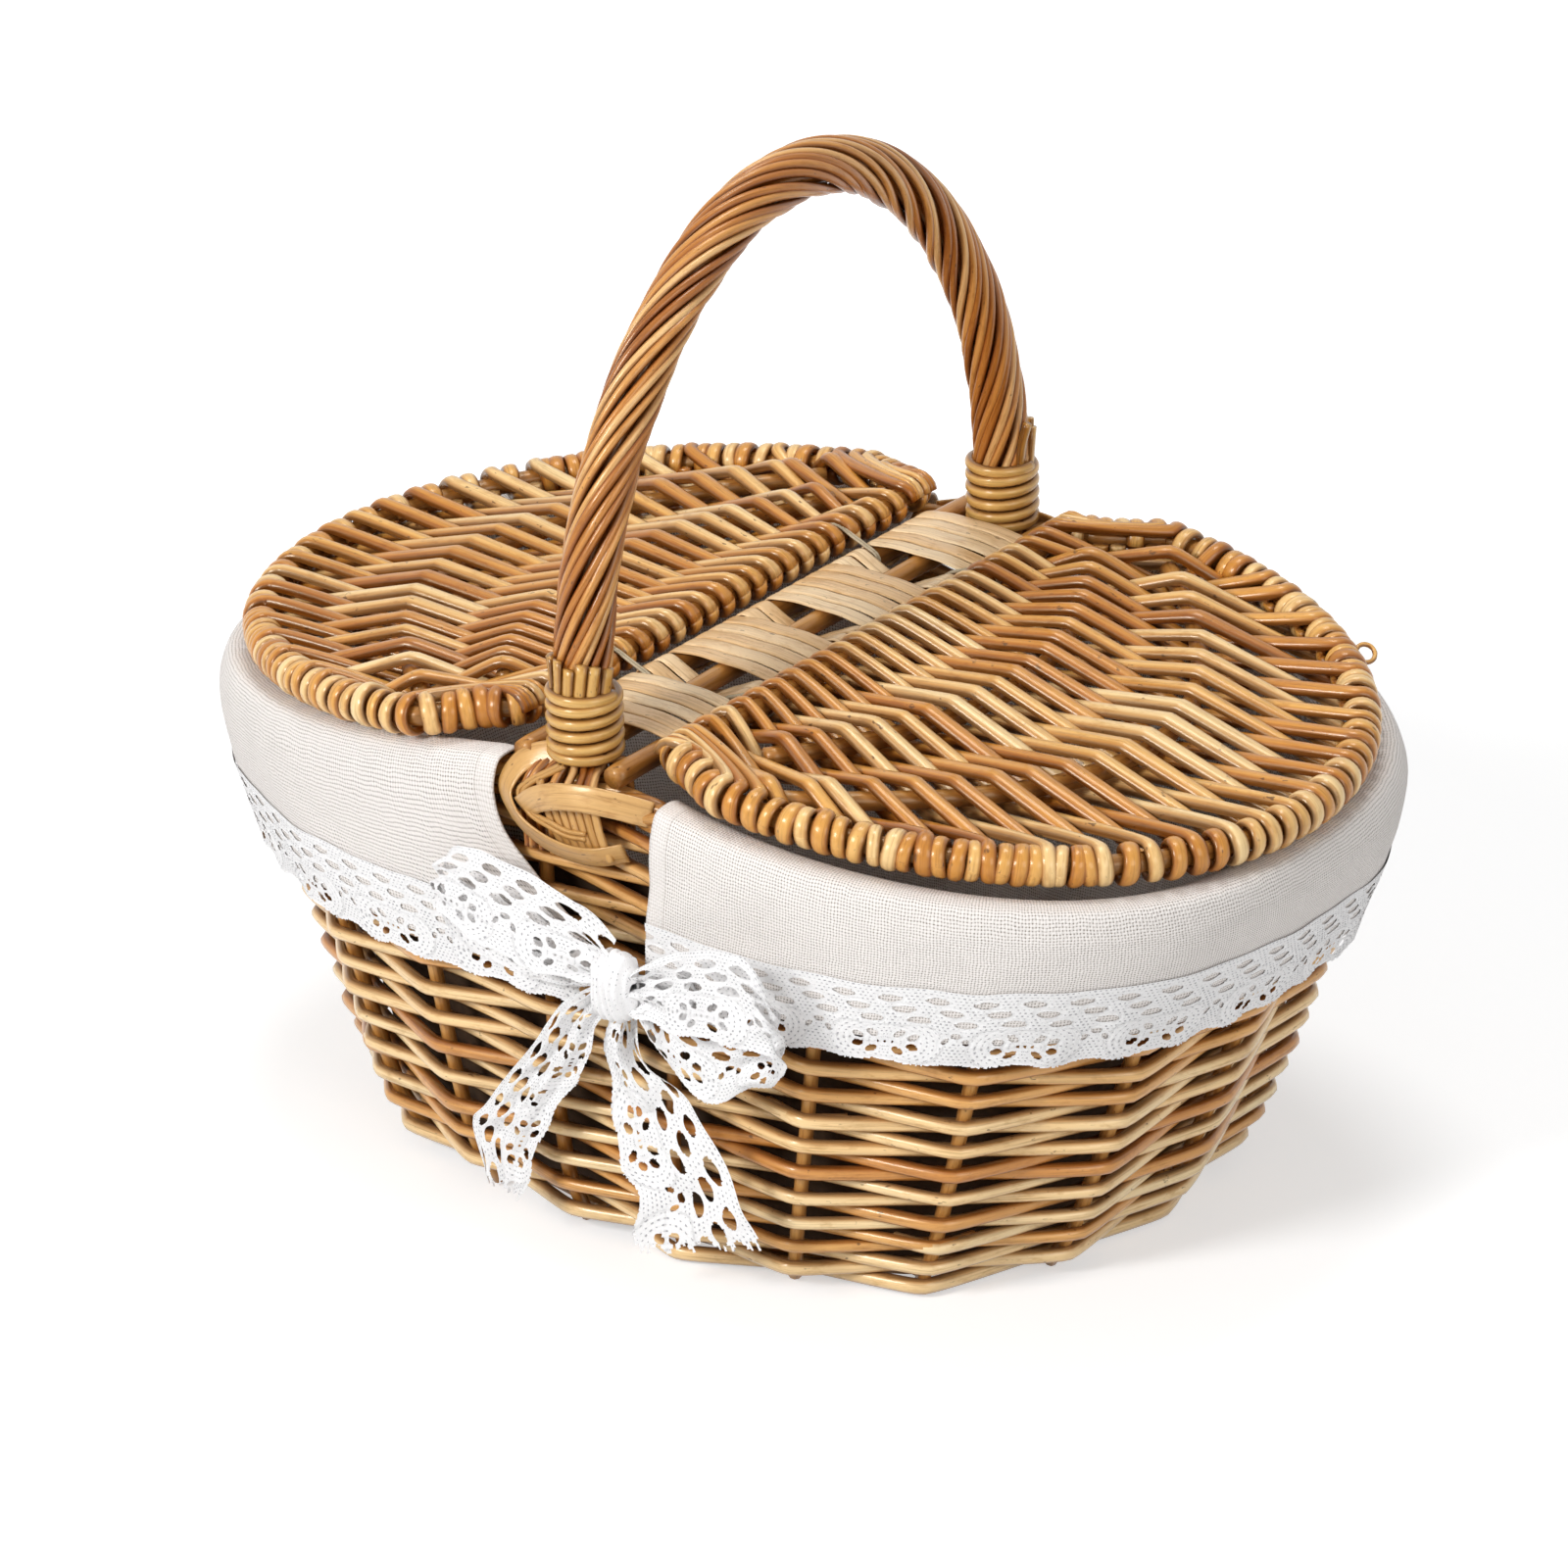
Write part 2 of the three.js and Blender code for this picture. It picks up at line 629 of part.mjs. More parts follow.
function lidFrame() {
  const corner = 2 * lidRodRadius;
  const outline = [[0, -lidHalfHinge + corner], [0, lidHalfHinge - corner], [corner / 2, lidHalfHinge]];
  for (let i = 0; i <= lidRimSteps; i += 1) outline.push(rimPoint(Math.PI / 2 - (Math.PI * i) / lidRimSteps));
  outline.push([corner / 2, -lidHalfHinge]);
  const points = outline.map(([u, v]) => vec(u, v, 0));
  return sweep(points, points.map(() => up), regularShares(6), lidRodRadius, lidRodRadius, true);
}

const ribReach = (rib, v) => rib.middle * (1 - (v / rib.meetsHinge) ** 2);

function lidRib(rib) {
  const points = [];
  for (let i = 0; i <= ribSteps; i += 1) {
    const v = -rib.halfSpan + (2 * rib.halfSpan * i) / ribSteps;
    points.push(vec(ribReach(rib, v), v, 0));
  }
  return sweep(points, points.map(() => up), regularShares(5), lidRibRadius, lidRibRadius);
}

// Where a weaver that starts at v on the hinge crosses a rib, or null beyond the rib's end
function crossing(rib, v) {
  let u = rib.middle;
  let across = v;
  for (let i = 0; i < 12; i += 1) {
    across = v * (1 + ((lidFanShare - 1) * u) / rimReach(v * lidFanShare));
    u = ribReach(rib, across);
  }
  return Math.abs(across) < rib.halfSpan + 2 * lidWrapHalfWidth ? [u, across] : null;
}

// Lid weave: one weaver to and fro between the hinge rod and the rim, round both at every turn.
// One face of it looks away from the hinge rod and towards the rim, so it never twists.
function lidWeave() {
  const points = [];
  const normals = [];
  const put = (u, v, height, normal) => {
    points.push(vec(u, v, height));
    normals.push(normal);
  };
  const overRib = lidRibRadius + seatGap + ribSlack + lidWrapHalfDepth;
  const cross = (ribs, v, normal) => ribs.forEach(([rib, side]) => {
    const at = crossing(rib, v);
    if (at) put(at[0], at[1], side * overRib, normal);
  });
  const down = up.clone().negate();
  const wrapTurns = [-1, -1 / 3, 1 / 3, 1].map((share) => (share * Math.PI) / 2);
  for (let k = 0; k < wrapCount; k += 1) {
    const middle = (k - (wrapCount - 1) / 2) * wrapPitch;
    const first = middle - wrapStrandSpacing / 2;
    const second = middle + wrapStrandSpacing / 2;
    if (k > 0) cross([[outerRib, -1], [innerRib, 1]], first, down);
    wrapTurns.forEach((turn, i) => {
      const v = first + ((second - first) * i) / (wrapTurns.length - 1);
      const normal = vec(-Math.cos(turn), 0, Math.sin(turn));
      put(normal.x * lidWrapOrbit, v, normal.z * lidWrapOrbit, normal);
    });
    if (k === wrapCount - 1) break;
    cross([[innerRib, -1], [outerRib, 1]], second, up);
    const nextFirst = middle + wrapPitch - wrapStrandSpacing / 2;
    wrapTurns.forEach((turn, i) => {
      const v = lidFanShare * (second + ((nextFirst - second) * i) / (wrapTurns.length - 1));
      const angle = Math.asin(v / halfWidthOn(v));
      const [u] = rimPoint(angle);
      const outward = vec(Math.cos(angle), Math.sin(angle), 0);
      const away = outward.multiplyScalar(Math.cos(turn)).addScaledVector(up, Math.sin(turn));
      const at = vec(u, v, 0).addScaledVector(away, lidWrapOrbit);
      put(at.x, at.y, at.z, away.negate());
    });
  }
  return sweep(points, normals, wedgeShares, lidWrapHalfDepth, lidWrapHalfWidth);
}

function lidGroup(side) {
  const name = side > 0 ? 'right' : 'left';
  const group = new THREE.Group();
  group.position.set(side * hingeX, 0, hingeHeight);
  group.rotation.set(0, Math.atan(lidSlope), side > 0 ? 0 : Math.PI, 'ZYX');
  group.add(mesh(`${name}_lid_frame`, lidFrame(), colours.willowDark, 0.5));
  group.add(mesh(`${name}_lid_inner_rib`, lidRib(innerRib), colours.willow, 0.5));
  group.add(mesh(`${name}_lid_outer_rib`, lidRib(outerRib), colours.willow, 0.5));
  group.add(mesh(`${name}_lid_weave`, lidWeave(), colours.willowDark, 0.45));
  return group;
}

// Liner bag: a cloth shell against the inside of the wall, open at the top
function linerBag() {
  const floor = baseThickness + seatGap;
  const ring = (height, depth) => {
    const inset = -(weaveReach(-1, height) + clothGap + depth);
    return stakeAngles.map((angle) => wallAt(angle, height, inset).point);
  };
  const rings = [];
  linerRowShares.forEach((share) => rings.push(ring(floor + (linerTop - floor) * share, 0)));
  linerRowShares.slice().reverse().forEach((share) => {
    const low = floor + 2 * clothHalfThickness;
    rings.push(ring(low + (linerTop - low) * share, 2 * clothHalfThickness));
  });
  return skin(rings, false);
}

// Flap: cloth folded over the border from the inside, hanging outside with soft folds.
// It is drawn on the right side, and half a turn makes the left one.
const shareTo = (reach) => rimRun[rimPlaces.findIndex(({ x }) => x > reach)] / rimLength;
const flapStart = shareTo(slotToRightFlap);
const flapEnd = 0.5 - shareTo(slotToLeftFlap);
const clothReach = weaveReach(1, flapHem - laceWidth) + clothGap + clothHalfThickness;
const foldAt = (share) => flapFold * Math.sin(2 * Math.PI * flapFolds * share) * Math.sin(Math.PI * share);
const hemAt = (share) => flapHem + flapHemRise * Math.max(1 - (share / flapHemRiseShare) ** 2, 0);

// Angle of a place on the flap: the lower a place hangs, the more it is drawn along with its corner
function flapAngle(share, hang) {
  const drawn = flapPush * Math.max(1 - share / flapPullShare, 0)
    + flapPull * Math.max(1 - (1 - share) / flapPullShare, 0);
  return angleAt(flapStart + (flapEnd - flapStart) * share + (drawn * hang ** 2) / rimLength);
}

function flap() {
  const inside = -(weaveReach(-1, linerTop) + clothGap + clothHalfThickness);
  const rings = Array.from({ length: flapColumns }, (_, i) => {
    const share = i / (flapColumns - 1);
    const rim = weaveTop(flapAngle(share, 0)) + borderRise;
    const hem = hemAt(share);
    const fold = foldAt(share);
    const line = [
      [inside, linerTop + seatGap + clothHalfThickness],
      [inside, rim],
      [inside * flapTopShare, rim + flapRise],
      [clothReach * flapTopShare, rim + flapRise],
      [clothReach + flapBulge * flapRimShare, rim],
      [clothReach + flapBulge + fold / 2, rim - (rim - hem) * flapBellyShare],
      [clothReach + flapBulge * flapHemShare + fold, hem],
    ];
    const hang = line.map(([d, z]) => (d > 0 ? Math.max((rim - z) / (rim - hem), 0) : 0));
    const facing = line.map((_, k) => {
      const [d0, z0] = line[Math.max(k - 1, 0)];
      const [d1, z1] = line[Math.min(k + 1, line.length - 1)];
      return new THREE.Vector2(z0 - z1, d1 - d0).normalize();
    });
    const face = (sign) => line.map(([d, z], k) => {
      const height = z + sign * clothHalfThickness * facing[k].y;
      const { point, normal } = wallAt(flapAngle(share, hang[k]), Math.min(height, rim));
      return vec(point.x, point.y, height).addScaledVector(normal, d + sign * clothHalfThickness * facing[k].x);
    });
    return [...face(1), ...face(-1).reverse()];
  });
  return skin(rings, false);
}

function laceBand() {
  const rings = Array.from({ length: laceColumns }, (_, i) => {
    const share = i / (laceColumns - 1);
    const middle = clothReach + flapBulge * flapHemShare + foldAt(share);
    const top = hemAt(share) - clothHalfThickness - seatGap;
    const bottom = top - laceWidth + laceScallop * (i % 2);
    const ring = [[-1, top], [1, top], [1, bottom], [-1, bottom]];
    return ring.map(([layer, z]) => {
      const { point, normal } = wallAt(flapAngle(share, 1), z);
      return point.clone().addScaledVector(normal, middle + layer * laceHalfThickness);
    });
  });
  return skin(rings, false);
}

// Bow: two loops and two tails of lace ribbon out of one knot, on a strap across the slot
function bow() {
  const laceFace = clothReach + flapBulge * flapHemShare + laceHalfThickness;
  const faceY = -(wallReach(bowStrapHalfLength, knotHeight) + laceFace);
  const knotY = faceY - flapFold - 2 * (ribbonHalfThickness + seatGap) - loopPuff;
  const knot = vec(knotX, knotY, knotHeight);
  const away = vec(0, -1, 0);
  const ribbon = (turn, line, halfWidth) => {
    const lead = vec(Math.cos(turn), 0, Math.sin(turn));
    const points = line.map(([s, d]) => knot.clone().addScaledVector(lead, s).addScaledVector(away, d));
    const normals = line.map((_, i) => {
      const [s0, d0] = line[Math.max(i - 1, 0)];
      const [s1, d1] = line[Math.min(i + 1, line.length - 1)];
      return lead.clone().multiplyScalar(d0 - d1).addScaledVector(away, s1 - s0).normalize();
    });
    return sweep(points, normals, bandShares, ribbonHalfThickness, halfWidth);
  };
  const loop = (turn, length, halfWidth) => {
    const line = Array.from({ length: loopSteps }, (_, i) => {
      const round = (2 * Math.PI * (i + 0.5)) / loopSteps;
      return [(length / 2) * (1 - Math.cos(round)), loopPuff * Math.sin(round)];
    });
    return ribbon(turn, line, halfWidth);
  };
  const tail = (turn, length, halfWidth) => {
    const line = Array.from({ length: tailSteps + 1 }, (_, i) => {
      const share = i / tailSteps;
      return [length * share, tailWave * Math.sin(2 * Math.PI * tailWaveCount * share) - tailFallBack * share];
    });
    return ribbon(turn, line, halfWidth);
  };
  const strapY = faceY - seatGap - ribbonHalfThickness - knotY;
  const strapEnds = [-bowStrapHalfLength, bowStrapHalfLength].map((x) => [x - knotX, -strapY]);
  const strap = ribbon(0, strapEnds, bowStrapHalfWidth);
  const ball = new THREE.SphereGeometry(1, 8, 6);
  ball.scale(knotHalfWidth, knotHalfDepth, knotHalfHeight);
  ball.translate(knot.x, knot.y, knot.z);
  return joined([
    ball,
    strap,
    loop(leftLoopTurn, leftLoopLength, leftLoopHalfWidth),
    loop(rightLoopTurn, rightLoopLength, rightLoopHalfWidth),
    tail(leftTailTurn, leftTailLength, leftTailHalfWidth),
    tail(rightTailTurn, rightTailLength, rightTailHalfWidth),
  ]);
}

function mesh(name, geometry, colour, roughness) {
  const made = new THREE.Mesh(geometry, materialFor(colour, roughness));
  made.name = name;
  return made;
}

// The whole basket
const basket = new THREE.Group();
basket.add(mesh('base_mat', base(), colours.willow, 0.55));
basket.add(mesh('stakes_and_border', stakesAndBorder(), colours.willowDark, 0.5));
basket.add(mesh('wall_weave', wallWeave(), colours.willow, 0.45));

basket.add(mesh('handle_core', handleCore(), colours.willowDark, 0.5));
for (let i = 0; i < handleRodCount; i += 1) {
  basket.add(mesh(`handle_rod_${i + 1}`, handleRod(i), colours.willowDark, 0.45));
}
[['front', -1], ['rear', 1]].forEach(([name, sign]) => {
  basket.add(mesh(`${name}_foot_wrap`, footWrap(sign), colours.skein, 0.4));
  basket.add(mesh(`${name}_lashing`, lashing(sign), colours.skein, 0.4));
});

[['left', -1], ['right', 1]].forEach(([name, side]) => {
  const halfLength = rimFrontY + bridgeRodOverhang;
  const rod = bridgeRod(side * bridgeRodX, bridgeRodHeight, bridgeRodRadius, halfLength);
  basket.add(mesh(`${name}_bridge_rod`, rod, colours.willow, 0.5));
  [['front', -1], ['rear', 1]].forEach(([end, sign]) => {
    basket.add(mesh(`${name}_${end}_hinge_loop`, hingeLoop(side, sign * loopY), colours.linen, 0.7));
  });
});
const centreRod = bridgeRod(0, bridgeRodHeight + centreRodRise, centreRodRadius, bridgeHalfSpan);
basket.add(mesh('bridge_centre_rod', centreRod, colours.willow, 0.5));
bridgeSpans().forEach(([from, to, over], i) => {
  basket.add(mesh(`bridge_skein_${i + 1}`, bridgeSkein(from, to, over), colours.skein, 0.4));
});

basket.add(lidGroup(-1));
basket.add(lidGroup(1));

basket.add(mesh('liner_bag', linerBag(), colours.linen, 0.9));
[['right', 'front', 0], ['left', 'rear', Math.PI]].forEach(([side, end, turn]) => {
  const dressing = new THREE.Group();
  dressing.rotation.z = turn;
  dressing.add(mesh(`${side}_flap`, flap(), colours.linen, 0.9));
  dressing.add(mesh(`${side}_lace`, laceBand(), colours.lace, 0.9));
  dressing.add(mesh(`${end}_bow`, bow(), colours.lace, 0.9));
  basket.add(dressing);
});

export default basket;
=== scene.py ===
import math

import bpy
import numpy as np
from mathutils import Matrix, Vector

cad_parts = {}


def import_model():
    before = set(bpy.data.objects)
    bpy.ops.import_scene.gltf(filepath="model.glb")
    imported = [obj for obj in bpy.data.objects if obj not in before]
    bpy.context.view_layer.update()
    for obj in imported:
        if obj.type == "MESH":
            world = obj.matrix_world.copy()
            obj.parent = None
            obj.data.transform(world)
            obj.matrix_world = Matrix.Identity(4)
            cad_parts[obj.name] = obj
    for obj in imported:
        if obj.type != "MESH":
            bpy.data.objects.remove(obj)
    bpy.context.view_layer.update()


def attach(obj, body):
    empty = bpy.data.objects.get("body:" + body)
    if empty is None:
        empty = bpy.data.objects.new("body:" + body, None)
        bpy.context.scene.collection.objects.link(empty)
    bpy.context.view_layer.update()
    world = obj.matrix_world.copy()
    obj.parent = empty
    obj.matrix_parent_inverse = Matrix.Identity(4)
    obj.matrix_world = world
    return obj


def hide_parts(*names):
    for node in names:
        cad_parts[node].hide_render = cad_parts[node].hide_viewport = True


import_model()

# Lidded woven basket: willow wall, handle, bridge and lids, linen liner, lace and ribbon bows.
# Sizes are in millimetres and turned into metres when a mesh is made.
MM = 0.001
rng = np.random.default_rng(7)

# Wall, as in the solids
FOOT = np.array([138.0, 109.0])
RIM = np.array([198.0, 131.0])
WALL_HEIGHT = 157.7
OUTLINE_POWER = 2.6
PROFILE_HEIGHTS = [0.0, 0.12, 0.32, 0.9, 1.3]
LENGTH_SHARES = [0.0, 0.24, 0.45, 1.0, 1.0]
WIDTH_SHARES = [0.0, 0.4, 0.57, 1.0, 1.0]
WAIST_SHARES = [0.0, 0.0, 0.0, 1.0, 1.0]
WAIST_DEPTH = 12.0
WAIST_SPREAD = 60.0
STAKES = 19
STAKE_RADIUS = 2.5
BORDER_RADIUS = 5.8
BORDER_RISE = 8.35

# Handle, bridge and lids, as in the solids
HANDLE_HALF_SPAN = 114.4
HANDLE_RISE = 141.0
HANDLE_SPRING = 198.0
ARCH_POWER = 1.94
HANDLE_TWISTS = 3.0
BRIDGE_ROD_X = 18.5
BRIDGE_ROD_RADIUS = 4.0
BRIDGE_ROD_Z = WALL_HEIGHT + BORDER_RISE + BORDER_RADIUS + 0.35 + BRIDGE_ROD_RADIUS
BRIDGE_HALF_SPAN = 99.5
CENTRE_ROD_RADIUS, CENTRE_ROD_RISE = 3.5, 1.5
HINGE_X = 32.3
HINGE_Z = 182.366
LID_SLOPE = math.radians(6.4)
LID_HALF_HINGE = 112.0
LID_REACH = 168.0
LID_WIDE = 28.0
LID_ROD_RADIUS = 3.4
WRAP_PITCH = 8.79
WRAP_COUNT = 24


def smooth_table(shares):
    heights = np.linspace(-0.2, 1.3, 301)
    raw = np.interp(heights, PROFILE_HEIGHTS, shares)
    low = heights < 0
    raw[low] = shares[0] + (shares[1] - shares[0]) / PROFILE_HEIGHTS[1] * heights[low]
    kernel = np.exp(-0.5 * (np.arange(-18, 19) / 7.0) ** 2)
    soft = np.convolve(np.pad(raw, 18, mode="edge"), kernel / kernel.sum(), mode="valid")
    return heights, soft


LENGTH_TABLE = smooth_table(LENGTH_SHARES)
WIDTH_TABLE = smooth_table(WIDTH_SHARES)
WAIST_TABLE = smooth_table(WAIST_SHARES)


def wall_at(angle, height, offset=0.0):
    """Points of the wall's middle surface moved out by offset, and its outward normals."""
    angle, height, offset = np.broadcast_arrays(*(np.asarray(v, float) for v in (angle, height, offset)))
    share = height / WALL_HEIGHT
    half_length = FOOT[0] + (RIM[0] - FOOT[0]) * np.interp(share, *LENGTH_TABLE)
    half_width = FOOT[1] + (RIM[1] - FOOT[1]) * np.interp(share, *WIDTH_TABLE)
    c, s = np.cos(angle), np.sin(angle)
    power = 2 / OUTLINE_POWER
    x = half_length * np.sign(c) * np.abs(c) ** power
    y = half_width * np.sign(s) * np.abs(s) ** power
    waist = WAIST_DEPTH * np.interp(share, *WAIST_TABLE) * np.exp(-(x / WAIST_SPREAD) ** 2)
    nx = np.sign(c) * np.abs(x / half_length) ** (OUTLINE_POWER - 1) / half_length
    ny = np.sign(s) * np.abs(y / half_width) ** (OUTLINE_POWER - 1) / half_width
    size = np.hypot(nx, ny)
    normal = np.stack([nx / size, ny / size, np.zeros_like(nx)], -1)
    point = np.stack([x, y - np.sign(s) * waist, height], -1)
    return point + normal * offset[..., None], normal


def run_along(points):
    """Length of a line from its first point to each of its points."""
    return np.concatenate([[0], np.cumsum(np.linalg.norm(np.diff(points, axis=0), axis=1))])


def rim_arcs(samples=4000):
    angles = -math.pi / 2 + 2 * math.pi * np.arange(samples + 1) / samples
    points, _ = wall_at(angles, WALL_HEIGHT)
    return angles, run_along(points)


ARC_ANGLES, ARC_LENGTHS = rim_arcs()
RIM_LENGTH = ARC_LENGTHS[-1]


def angle_at(share):
    """Angle of the place that lies a share of the rim's length from the front middle."""
    share = np.asarray(share, float)
    turns = np.floor(share)
    return np.interp((share - turns) * RIM_LENGTH, ARC_LENGTHS, ARC_ANGLES) + 2 * math.pi * turns


def rim_drop(x):
    return math.tan(LID_SLOPE) * np.maximum(np.abs(x) - HINGE_X, 0)


def weave_top(angle):
    point, _ = wall_at(angle, WALL_HEIGHT)
    return WALL_HEIGHT - rim_drop(point[..., 0])


# Meshes

UP = np.array([0, 0, 1.0])


def stacked(*values):
    """Places from their coordinates, each spread out to the shape that fits them all."""
    return np.stack(np.broadcast_arrays(*values), -1)


def around(out, turn):
    """Directions from out turned up by an angle each."""
    return out * np.cos(turn)[:, None] + UP * np.sin(turn)[:, None]


def unit(v):
    return v / np.maximum(np.linalg.norm(v, axis=-1, keepdims=True), 1e-9)


def through(points, step, extras=()):
    """A smooth line through the points, with other values carried along, sampled every step."""
    points = np.asarray(points, float)
    extras = [np.asarray(e, float).reshape(len(points), -1) for e in extras]
    values = np.concatenate([points] + extras, axis=1)
    before = np.concatenate([2 * values[:1] - values[1:2], values, 2 * values[-1:] - values[-2:-1]])
    out = []
    for i in range(len(points) - 1):
        p0, p1, p2, p3 = before[i:i + 4]
        knots = np.cumsum([0] + [max(np.linalg.norm(b[:3] - a[:3]), 1e-3) ** 0.5
                                 for a, b in ((p0, p1), (p1, p2), (p2, p3))])
        count = max(int(np.linalg.norm(p2[:3] - p1[:3]) / step), 1)
        t = knots[1] + (knots[2] - knots[1]) * np.arange(count) / count
        t = t[:, None]
        k0, k1, k2, k3 = knots
        a1 = (k1 - t) / (k1 - k0) * p0 + (t - k0) / (k1 - k0) * p1
        a2 = (k2 - t) / (k2 - k1) * p1 + (t - k1) / (k2 - k1) * p2
        a3 = (k3 - t) / (k3 - k2) * p2 + (t - k2) / (k3 - k2) * p3
        b1 = (k2 - t) / (k2 - k0) * a1 + (t - k0) / (k2 - k0) * a2
        b2 = (k3 - t) / (k3 - k1) * a2 + (t - k1) / (k3 - k1) * a3
        out.append((k2 - t) / (k2 - k1) * b1 + (t - k1) / (k2 - k1) * b2)
    out.append(values[-1:])
    whole = np.concatenate(out)
    parts, at = [whole[:, :3]], 3
    for extra in extras:
        parts.append(whole[:, at:at + extra.shape[1]])
        at += extra.shape[1]
    return parts


def carried(values, run, at):
    """The values of a line at lengths along it, where run holds the length to each of its points."""
    return np.stack([np.interp(at, run, values[:, i]) for i in range(values.shape[1])], -1)


class Build:
    """Gathers rods and sheets into one mesh, with the grain that their materials read."""

    def __init__(self):
        self.verts, self.loops, self.totals, self.grain, self.tone, self.side = [], [], [], [], [], []
        self.count = 0

    def add(self, verts, loops, totals, grain, tone, side=0.0):
        self.verts.append(verts)
        self.loops.append(loops + self.count)
        self.totals.append(totals)
        self.grain.append(grain)
        self.tone.append(np.broadcast_to(tone, (len(verts),)))
        self.side.append(np.broadcast_to(side, (len(verts),)))
        self.count += len(verts)

    def rod(self, points, normals, depth, width, sides=10, tone=None, closed=False, corner=2.0):
        """Sweeps an oval along the points: depth and width are its half sizes along and across the normal."""
        points = np.asarray(points, float)
        normals = np.broadcast_to(np.asarray(normals, float), points.shape)
        count = len(points)
        if closed:
            along = unit(np.roll(points, -1, 0) - np.roll(points, 1, 0))
        else:
            along = unit(np.gradient(points, axis=0))
        across = unit(np.cross(along, normals))
        deep = np.cross(across, along)
        turn = 2 * math.pi * (np.arange(sides) + 0.5) / sides
        c = np.sign(np.cos(turn)) * np.abs(np.cos(turn)) ** (2 / corner)
        s = np.sign(np.sin(turn)) * np.abs(np.sin(turn)) ** (2 / corner)
        depth = np.broadcast_to(np.asarray(depth, float).reshape(-1, 1), (count, 1))
        width = np.broadcast_to(np.asarray(width, float).reshape(-1, 1), (count, 1))
        verts = (points[:, None] + deep[:, None] * (c * depth)[..., None]
                 + across[:, None] * (s * width)[..., None])
        run = run_along(points)
        grain = np.stack([np.broadcast_to(run[:, None], (count, sides)), c * depth, s * width], -1)
        rows = count if closed else count - 1
        i = np.arange(rows)[:, None]
        j = np.arange(sides)[None]
        k = (j + 1) % sides
        n = (i + 1) % count
        quads = np.stack([i * sides + j, i * sides + k, n * sides + k, n * sides + j], -1).reshape(-1)
        totals = np.full(rows * sides, 4)
        if not closed:
            quads = np.concatenate([quads, np.arange(sides)[::-1], (count - 1) * sides + np.arange(sides)])
            totals = np.concatenate([totals, [sides, sides]])
        if tone is None:
            tone = rng.random()
        # how far each point lies round towards the rod's sides, which the willow material darkens as painted
        # shade
        side = np.broadcast_to(np.abs(np.sin(turn)), (count, sides)).reshape(-1)
        self.add(verts.reshape(-1, 3), quads, totals, grain.reshape(-1, 3), tone, side)

    def grid(self, points, coords, tone=0.5, keep=None):
        """A sheet of rows by columns of points, where coords are its flat places; keep picks its faces."""
        rows, columns = points.shape[:2]
        i = np.arange(rows - 1)[:, None]
        j = np.arange(columns - 1)[None]
        this, following = i * columns + j, (i + 1) * columns + j
        quads = np.stack([this, following, following + 1, this + 1], -1).reshape(-1, 4)
        if keep is not None:
            quads = quads[keep.reshape(-1)]
        verts, grain = points.reshape(-1, 3), coords.reshape(-1, 3)
        tone = np.broadcast_to(tone, (rows, columns)).reshape(-1)
        used, back = np.unique(quads, return_inverse=True)
        self.add(verts[used], back.reshape(-1), np.full(len(quads), 4), grain[used], tone[used])

    def make(self, name, material):
        mesh = bpy.data.meshes.new(name)
        verts = np.concatenate(self.verts) * MM
        loops = np.concatenate(self.loops).astype(np.int32)
        totals = np.concatenate(self.totals).astype(np.int32)
        mesh.vertices.add(len(verts))
        mesh.vertices.foreach_set("co", verts.astype(np.float32).ravel())
        mesh.loops.add(len(loops))
        mesh.loops.foreach_set("vertex_index", loops)
        mesh.polygons.add(len(totals))
        starts = np.concatenate([[0], np.cumsum(totals)[:-1]]).astype(np.int32)
        mesh.polygons.foreach_set("loop_start", starts)
        mesh.polygons.foreach_set("use_smooth", np.ones(len(totals), bool))
        mesh.update(calc_edges=True)
        grain = mesh.attributes.new("grain", "FLOAT_VECTOR", "POINT")
        grain.data.foreach_set("vector", np.concatenate(self.grain).astype(np.float32).ravel())
        for label, values in (("tone", self.tone), ("side", self.side)):
            attribute = mesh.attributes.new(label, "FLOAT", "POINT")
            attribute.data.foreach_set("value", np.concatenate(values).astype(np.float32))
        mesh.validate()
        piece = bpy.data.objects.new(name, mesh)
        bpy.context.scene.collection.objects.link(piece)
        mesh.materials.append(material)
        return piece


def place(piece, body, slot, node):
    """Fixes a piece to its body, in place of a node of the solids."""
    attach(piece, body)
    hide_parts(node)


# Materials

def linear(colour):
    """A shader's colour from a hex colour, a level of grey or three linear parts."""
    if isinstance(colour, str):
        parts = [int(colour[i:i + 2], 16) / 255 for i in (0, 2, 4)]
        parts = [c / 12.92 if c <= 0.04045 else ((c + 0.055) / 1.055) ** 2.4 for c in parts]
    else:
        parts = np.broadcast_to(colour, 3)
    return (*map(float, parts), 1.0)


